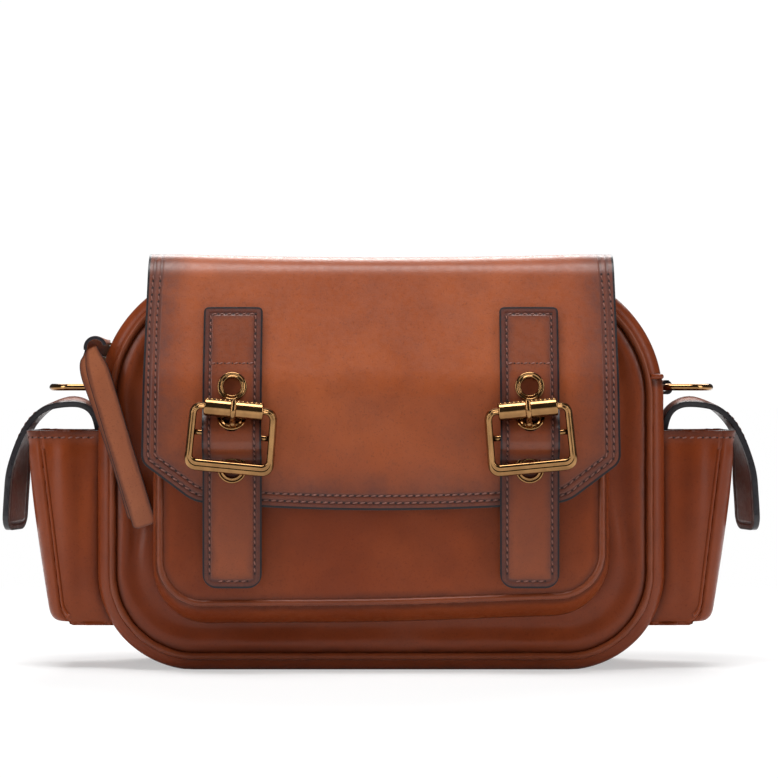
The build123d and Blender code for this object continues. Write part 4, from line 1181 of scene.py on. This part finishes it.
def side_pocket_line(z):
    """Outline (x, y) of a side pocket at a height, with its outward normals and run."""
    share = side_share(z)
    under = float(np.clip((SIDE_TURN - z) / (SIDE_TURN - SIDE_LOW), 0, 1))
    turned = 1 - math.sqrt(1 - 0.995 * under ** 2)
    half = SIDE_HALF - 1.8 * turned
    wall = wall_x(z)
    top = BODY_HALF + SIDE_REACH_LOW + SIDE_REACH_MORE * share - 5.0 * turned
    path = filleted([(wall, -half), (top, -half), (top, half), (wall, half)],
                    (SIDE_CORNER, SIDE_CORNER), 0.5)
    line = resample(path, SIDE_POINTS)
    run = path_lengths(line)
    normal = right_of(unit(np.gradient(line, axis=0)))
    side_run = top - wall - SIDE_CORNER
    from_wall = np.minimum(run, run[-1] - run)
    on_side = np.clip(from_wall / side_run, 0, 1)
    drop = math.sin(math.pi * float(np.clip(share * 0.9 + 0.1, 0, 1))) ** 0.8
    low_fade = float(np.clip((z - 20.0) / 14.0, 0, 1))
    puff = 1.7 * np.sin(np.pi * on_side) * drop * low_fade
    folds = 1.15 * low_fade * np.sin(on_side * 8.5 + 0.035 * z + np.sign(line[:, 1])) * np.sin(
        np.pi * on_side) * (0.35 + 0.65 * math.exp(-((z - 85) / 26.0) ** 2))
    seam = -0.9 * np.exp(-((from_wall - side_run - 1.5) / 0.8) ** 2)
    outer = np.clip((from_wall - side_run - 3.0) / 10.0, 0, 1)
    belly = outer * (2.4 * drop * np.clip(1 - (np.abs(line[:, 1]) / SIDE_HALF) ** 2.2, 0, 1)
                     + 0.5 * np.sin(line[:, 1] * 0.33 + 0.03 * z)
                     * math.exp(-((z - 82) / 24.0) ** 2))
    hem = math.exp(-((SIDE_RIM - z) / 1.5) ** 2) - math.exp(-((SIDE_RIM - 6.0 - z) / 3.0) ** 2)
    moved = line + normal * (puff + folds + seam + belly + 0.35 * hem)[:, None]
    return moved, normal, run, wall


def side_pocket(side, sign):
    """A side pocket in one sheet, with its turned-in foot, hem stitches and corner welts."""
    turn = SIDE_TURN - (SIDE_TURN - SIDE_LOW) * np.sin(np.radians(np.linspace(8, 86, 14)))
    heights = np.concatenate([steps_to(SIDE_RIM, SIDE_TURN, 60, 1.25), turn])
    rows, edges = [], []
    for z in heights:
        line, _, run, wall = side_pocket_line(z)
        rows.append(points_of(sign * line[:, 0], line[:, 1], z))
        edges.append(np.minimum(np.minimum(run, run[-1] - run), SIDE_RIM - z) + 0.5)
    last = rows[-1]
    for share in (0.06, 0.2, 0.45, 0.7, 0.9, 1.0):
        closing = last.copy()
        closing[:, 0] = sign * (wall + (np.abs(last[:, 0]) - wall) * (1 - share))
        rows.append(closing)
        edges.append(np.full(len(closing), 6.0))
    obj = sheet_object("side_pocket_leather_" + side, np.array(rows),
                       [pocket_leather, edge_paint], 1.6, np.array(edges), (sign, 0.0, 0.0), 0.4)
    fit_to(obj, "bag", "side_pocket_face_" + side, "side_pocket_gusset_" + side)
    row_z = SIDE_RIM - 3.0
    line, normal, _, _ = side_pocket_line(row_z)
    points = points_of(sign * line[:, 0], line[:, 1], row_z)
    normals = points_of(sign * normal[:, 0], normal[:, 1], 0.0)
    stitch_object("side_pocket_stitches_" + side, [(points[3:-3], normals[3:-3])], "bag")
    for end, name in ((-1, "front"), (1, "back")):
        points = []
        for z in np.linspace(SIDE_RIM - 8.0, 23.0, 60):
            line, normal, run, wall = side_pocket_line(z)
            along = side_seam_run(z) if end < 0 else run[-1] - side_seam_run(z)
            x, y = read_off(along, run, line + 0.2 * normal)
            points.append((sign * x, y, z))
        fit_to(tube("side_pocket_welt_%s_%s" % (name, side), points, 0.7, pocket_leather,
                    sides=10), "bag")


def side_seam_run(z):
    """How far along its outline a side pocket's corner seam lies."""
    reach = SIDE_REACH_LOW + SIDE_REACH_MORE * side_share(z)
    if z < SIDE_TURN:
        reach = SIDE_REACH_LOW - 0.2 - 0.24 * (SIDE_TURN - z) ** 1.7
    return BODY_HALF + reach - wall_x(z) - SIDE_CORNER + 0.6


SIDE_STRAP_RUN = smooth_run([(121.9, 0, 86.0), (122.2, 0, 100.0), (123.8, 0, 108.6),
                             (126.8, 0, 113.4), (131.5, 0, 116.2), (137.0, 0, 117.0),
                             (143.0, 0, 116.0), (148.5, 0, 113.6), (153.2, 0, 109.6),
                             (157.0, 0, 104.5), (159.6, 0, 98.0), (161.4, 0, 88.0),
                             (162.4, 0, 76.0), (163.0, 0, 66.0), (163.2, 0, 59.0)], 170)
SIDE_STRAP_HALF = 13.0
SIDE_STRAP_CORNER = 7.0
SIDE_STRAP_LENGTHS = path_lengths(SIDE_STRAP_RUN)


def side_strap_point(s, y):
    """A point of a side strap's outer face and its normal, at a run and a width."""
    behind, here, ahead = read_off((s - 0.6, s, s + 0.6), SIDE_STRAP_LENGTHS, SIDE_STRAP_RUN)
    tangent = unit(ahead - behind)
    normal = np.array([-tangent[2], 0.0, tangent[0]])
    hang = float(np.clip((106.0 - here[2]) / 26.0, 0, 1)) * (here[0] > 140)
    hang = ease_in_out(hang)
    crest = math.exp(-((here[0] - 138.0) / 9.0) ** 2) * (here[2] > 105)
    across = y / SIDE_STRAP_HALF
    place = here - normal * 0.3 * abs(across) ** 3
    place[0] -= hang * 3.0 * across
    place[1] = y
    place[2] += crest * 1.2 * across
    return place, normal


def side_strap(side, sign):
    """A side strap in one sheet, from its root on the bag to its hanging tongue; its stitches ride
    on the tongue.
    """
    half = SIDE_STRAP_HALF
    length = SIDE_STRAP_LENGTHS[-1]
    ys = steps_to(-half, half, 21, 1.7)
    rows = steps_to(0, length, 150, 1.1)
    mirror = np.array((sign, 1.0, 1.0))
    grid = np.zeros((len(rows), len(ys), 3))
    edge = np.zeros((len(rows), len(ys)))
    for c, y in enumerate(ys):
        cut = corner_cut(half - abs(y), SIDE_STRAP_CORNER)
        places = rows * (length - cut) / length
        for r, s in enumerate(places):
            grid[r, c] = side_strap_point(s, y)[0] * mirror
        edge[:, c] = np.minimum(half - abs(y), length - cut - places)
    obj = sheet_object("side_strap_leather_" + side, grid, [strap_leather, edge_paint], 2.5, edge,
                       (sign, 0.0, 1.0), 0.6)
    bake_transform(obj)
    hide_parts("side_strap_root_" + side, "side_strap_tongue_" + side)
    start = SIDE_STRAP_LENGTHS[np.argmax(SIDE_STRAP_RUN[:, 0] > 151.0)]
    long_run = np.linspace(start, length - 5.0, 90)
    rows = [[(s, end * (half - STRAP_ROW)) for s in long_run] for end in (-1, 1)]
    rows.append([(length - STRAP_ROW, y) for y in np.linspace(-6.5, 6.5, 14)])
    lines = []
    for row in rows:
        points, normals = row_of([side_strap_point(s, y) for s, y in row])
        lines.append((points * mirror, normals * mirror))
    stitch_object("side_strap_stitches_" + side, lines, "tongue_" + side, *FINE_STITCH)


def ring_tab(side, sign):
    """Leather loop round the D-ring's straight bar, sewn flat to the gusset below it."""
    bore = WIRE + 0.12
    path = filleted([(BODY_HALF + 1.7, 109.5), (BODY_HALF + 1.7, RING_Z - 3.0),
                     (RING_X + bore + 1.5, RING_Z - bore - 1.7),
                     (RING_X + bore + 1.5, RING_Z + bore + 1.5),
                     (BODY_HALF + 1.6, RING_Z + bore + 1.5), (BODY_HALF + 0.3, RING_Z - 6)],
                    (1.0, 2.2, 2.8, 2.4), 0.3)
    ys = steps_to(-8.0, 8.0, 13, 1.6)
    grid = points_of(sign * path[:, 0:1], ys[None, :], path[:, 1:2])
    edge = np.repeat((8.0 - np.abs(ys))[None, :], len(path), 0)
    obj = sheet_object("ring_tab_leather_" + side, grid, [trim_leather, edge_paint], 1.4, edge,
                       (sign, 0.0, 0.0))
    fit_to(obj, "bag", "d_ring_tab_" + side)
    lines = [(points_of(sign * (BODY_HALF + 1.75), y, np.linspace(110.5, 117.5, 8)),
              (sign, 0.0, 0.0)) for y in (-6.0, 6.0)]
    stitch_object("ring_tab_stitches_" + side, lines, "bag", 2.4, 1.7, 0.28)


# ---- zip pull ----
SLIDER_ANGLE = math.radians(20.7)
SLIDER_RADIUS = 60.2
LINK_END_Y = -44.3


def build_link():
    """Leather link from the slider forward to the pull. It curls over as it narrows."""
    out = np.array([-math.cos(SLIDER_ANGLE), 0.0, math.sin(SLIDER_ANGLE)])
    base = np.array([-CORNER_X, 0.0, CORNER_Z]) + SLIDER_RADIUS * out
    ys = np.concatenate([np.linspace(4, -30, 30), np.linspace(-31, LINK_END_Y, 24)])
    turns = np.linspace(-1, 1, 25)
    grid = np.zeros((len(ys), len(turns), 3))
    edge = np.zeros((len(ys), len(turns)))
    front_up = np.array([-0.25, 0.0, 0.97])
    for r, y in enumerate(ys):
        share = float(np.clip((-6.0 - y) / 34.0, 0, 1))
        share = ease_in_out(share)
        up = unit(out * (1 - share) + front_up * share)
        side = np.array([up[2], 0.0, -up[0]])
        ridge = (base + out * 1.9) * (1 - share) + np.array([-123.6, 0.0, 143.6]) * share
        half_arc = 2.7 + 5.0 * share
        curl = 0.12 + 1.42 * share
        radius = half_arc / curl
        for c, turn in enumerate(turns):
            angle = turn * curl
            point = ridge + side * radius * math.sin(angle) - up * radius * (1 - math.cos(angle))
            grid[r, c] = (point[0], y, point[2])
            edge[r, c] = min((1 - abs(turn)) * half_arc, abs(y - LINK_END_Y)) + 0.3
    link = sheet_object("pull_link_leather", grid, [pull_leather, edge_paint], 1.6, edge,
                        front_up)
    fit_to(link, "slider", "zip_pull_loop")


def build_pull():
    """Strip of leather folded over the link, with both halves hanging down together."""
    back = [(-103.4, -41.2, 66.0), (-110.6, -41.2, 90.0), (-118.6, -41.2, 113.0),
            (-125.0, -41.0, 131.0), (-124.9, -40.9, 136.2)]
    fold = [(-124.4, -41.6, 139.0), (-124.1, -42.8, 138.6)]
    front = [(-123.3, -43.5, 135.2), (-119.0, -43.7, 121.0), (-112.7, -43.6, 100.0),
             (-106.9, -43.4, 81.0), (-101.1, -43.2, 62.1)]
    centres = smooth_run(back + fold + front, 190)
    run = path_lengths(centres)
    top = run[np.argmax(centres[:, 2])]
    ends = np.minimum(run, run[-1] - run)
    halves = 5.0 - corner_cut(ends, 2.0) - 2.4 * np.exp(-((run - top) / 7.5) ** 2)
    width_way = unit(np.array([0.953, 0.0, 0.303]))
    across = steps_to(-1, 1, 13, 1.6)
    grid = centres[:, None, :] + width_way * (across[None, :, None] * halves[:, None, None])
    edge = np.minimum((1 - np.abs(across))[None, :] * halves[:, None], ends[:, None] + 0.4)
    pull = sheet_object("pull_loop_leather", grid, [pull_leather, edge_paint], 1.5, edge,
                        (0.0, 0.0, 1.0), 0.3)
    fit_to(pull, "pull", "zip_pull")


def finish_cad_pieces():
    looks = {
        "d_ring_left": gold, "d_ring_right": gold, "zip_slider": brass,
        "zip_teeth_front": brass, "zip_teeth_back": brass,
        "zip_tape_front": tape_cloth, "zip_tape_back": tape_cloth,
        "pocket_snaps": steel, "strap_snaps": steel,
    }
    for node, material in looks.items():
        wear(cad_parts[node], material)


# ---- studio, in metres ----
CAMERA_LENS = 150.7
CAMERA_PLACE = (0.0034, -1.438, 0.121)


def area_light(name, location, target, size, power):
    light = bpy.data.lights.new(name, "AREA")
    light.shape = "RECTANGLE"
    light.size, light.size_y = size
    light.energy = power
    obj = bpy.data.objects.new(name, light)
    bpy.context.scene.collection.objects.link(obj)
    obj.location = location
    direction = Vector(target) - Vector(location)
    obj.rotation_euler = direction.to_track_quat("-Z", "Y").to_euler()


def build_floor():
    """A pale floor that glows to the camera further out, so that it ends in white."""
    bpy.ops.mesh.primitive_plane_add(size=40.0, location=(0, 0, 0))
    floor = bpy.context.object
    floor.name = "studio_floor"
    material, tree, shader = new_material("studio_floor")
    set_inputs(shader, {"Base Color": (0.88, 0.88, 0.88, 1.0), "Roughness": 0.7,
                        "Specular IOR Level": 0.2})
    length = add(tree, "ShaderNodeVectorMath", operation="LENGTH")
    tree.links.new(object_coords(tree), length.inputs[0])
    glow = add(tree, "ShaderNodeEmission")
    set_inputs(glow, {"Strength": 1.0})
    blend = add(tree, "ShaderNodeMixShader")
    rays = add(tree, "ShaderNodeLightPath")
    far = map_range(tree, length.outputs["Value"], 0.16, 0.6, 0.45, 1.0)
    tree.links.new(math_node(tree, "MULTIPLY", far, rays.outputs["Is Camera Ray"]),
                   blend.inputs["Fac"])
    tree.links.new(shader.outputs["BSDF"], blend.inputs[1])
    tree.links.new(glow.outputs["Emission"], blend.inputs[2])
    tree.links.new(blend.outputs["Shader"], tree.nodes["Material Output"].inputs["Surface"])
    floor.data.materials.append(material)


def build_world():
    """White to the camera, and a weak even light to everything else."""
    world = bpy.data.worlds.new("studio_world")
    bpy.context.scene.world = world
    world.use_nodes = True
    tree = world.node_tree
    background = tree.nodes["Background"]
    set_inputs(background, {"Color": (1.0, 1.0, 1.0, 1.0)})
    rays = add(tree, "ShaderNodeLightPath")
    strength = add(tree, "ShaderNodeMapRange")
    set_inputs(strength, {"To Min": 0.07, "To Max": 1.02})
    tree.links.new(rays.outputs["Is Camera Ray"], strength.inputs["Value"])
    tree.links.new(strength.outputs["Result"], background.inputs["Strength"])


def build_studio():
    scene = bpy.context.scene
    scene.view_settings.view_transform = "Standard"
    build_floor()
    build_world()
    area_light("key_top", (-0.10, -0.30, 1.20), (0, 0, 0.08), (0.9, 0.6), 15.0)
    area_light("fill_left", (-1.1, -0.75, 0.50), (0, 0, 0.09), (0.35, 0.9), 5.6)
    area_light("fill_right", (1.1, -0.65, 0.50), (0, 0, 0.09), (0.35, 0.9), 4.8)
    area_light("back_top", (0.1, 0.9, 0.9), (0, 0, 0.1), (1.2, 0.5), 15.0)
    camera = bpy.data.cameras.new("camera")
    camera.lens = CAMERA_LENS
    camera.sensor_width = 36.0
    camera.clip_end = 60.0
    obj = bpy.data.objects.new("camera", camera)
    scene.collection.objects.link(obj)
    obj.location = CAMERA_PLACE
    obj.rotation_euler = (math.pi / 2, 0, 0)
    scene.camera = obj


build_body()
build_lining()
build_flap()
build_straps()
build_front_pocket()
for side_name, side_sign in SIDES:
    side_pocket(side_name, side_sign)
    side_strap(side_name, side_sign)
    ring_tab(side_name, side_sign)
build_link()
build_pull()
finish_cad_pieces()
build_studio()
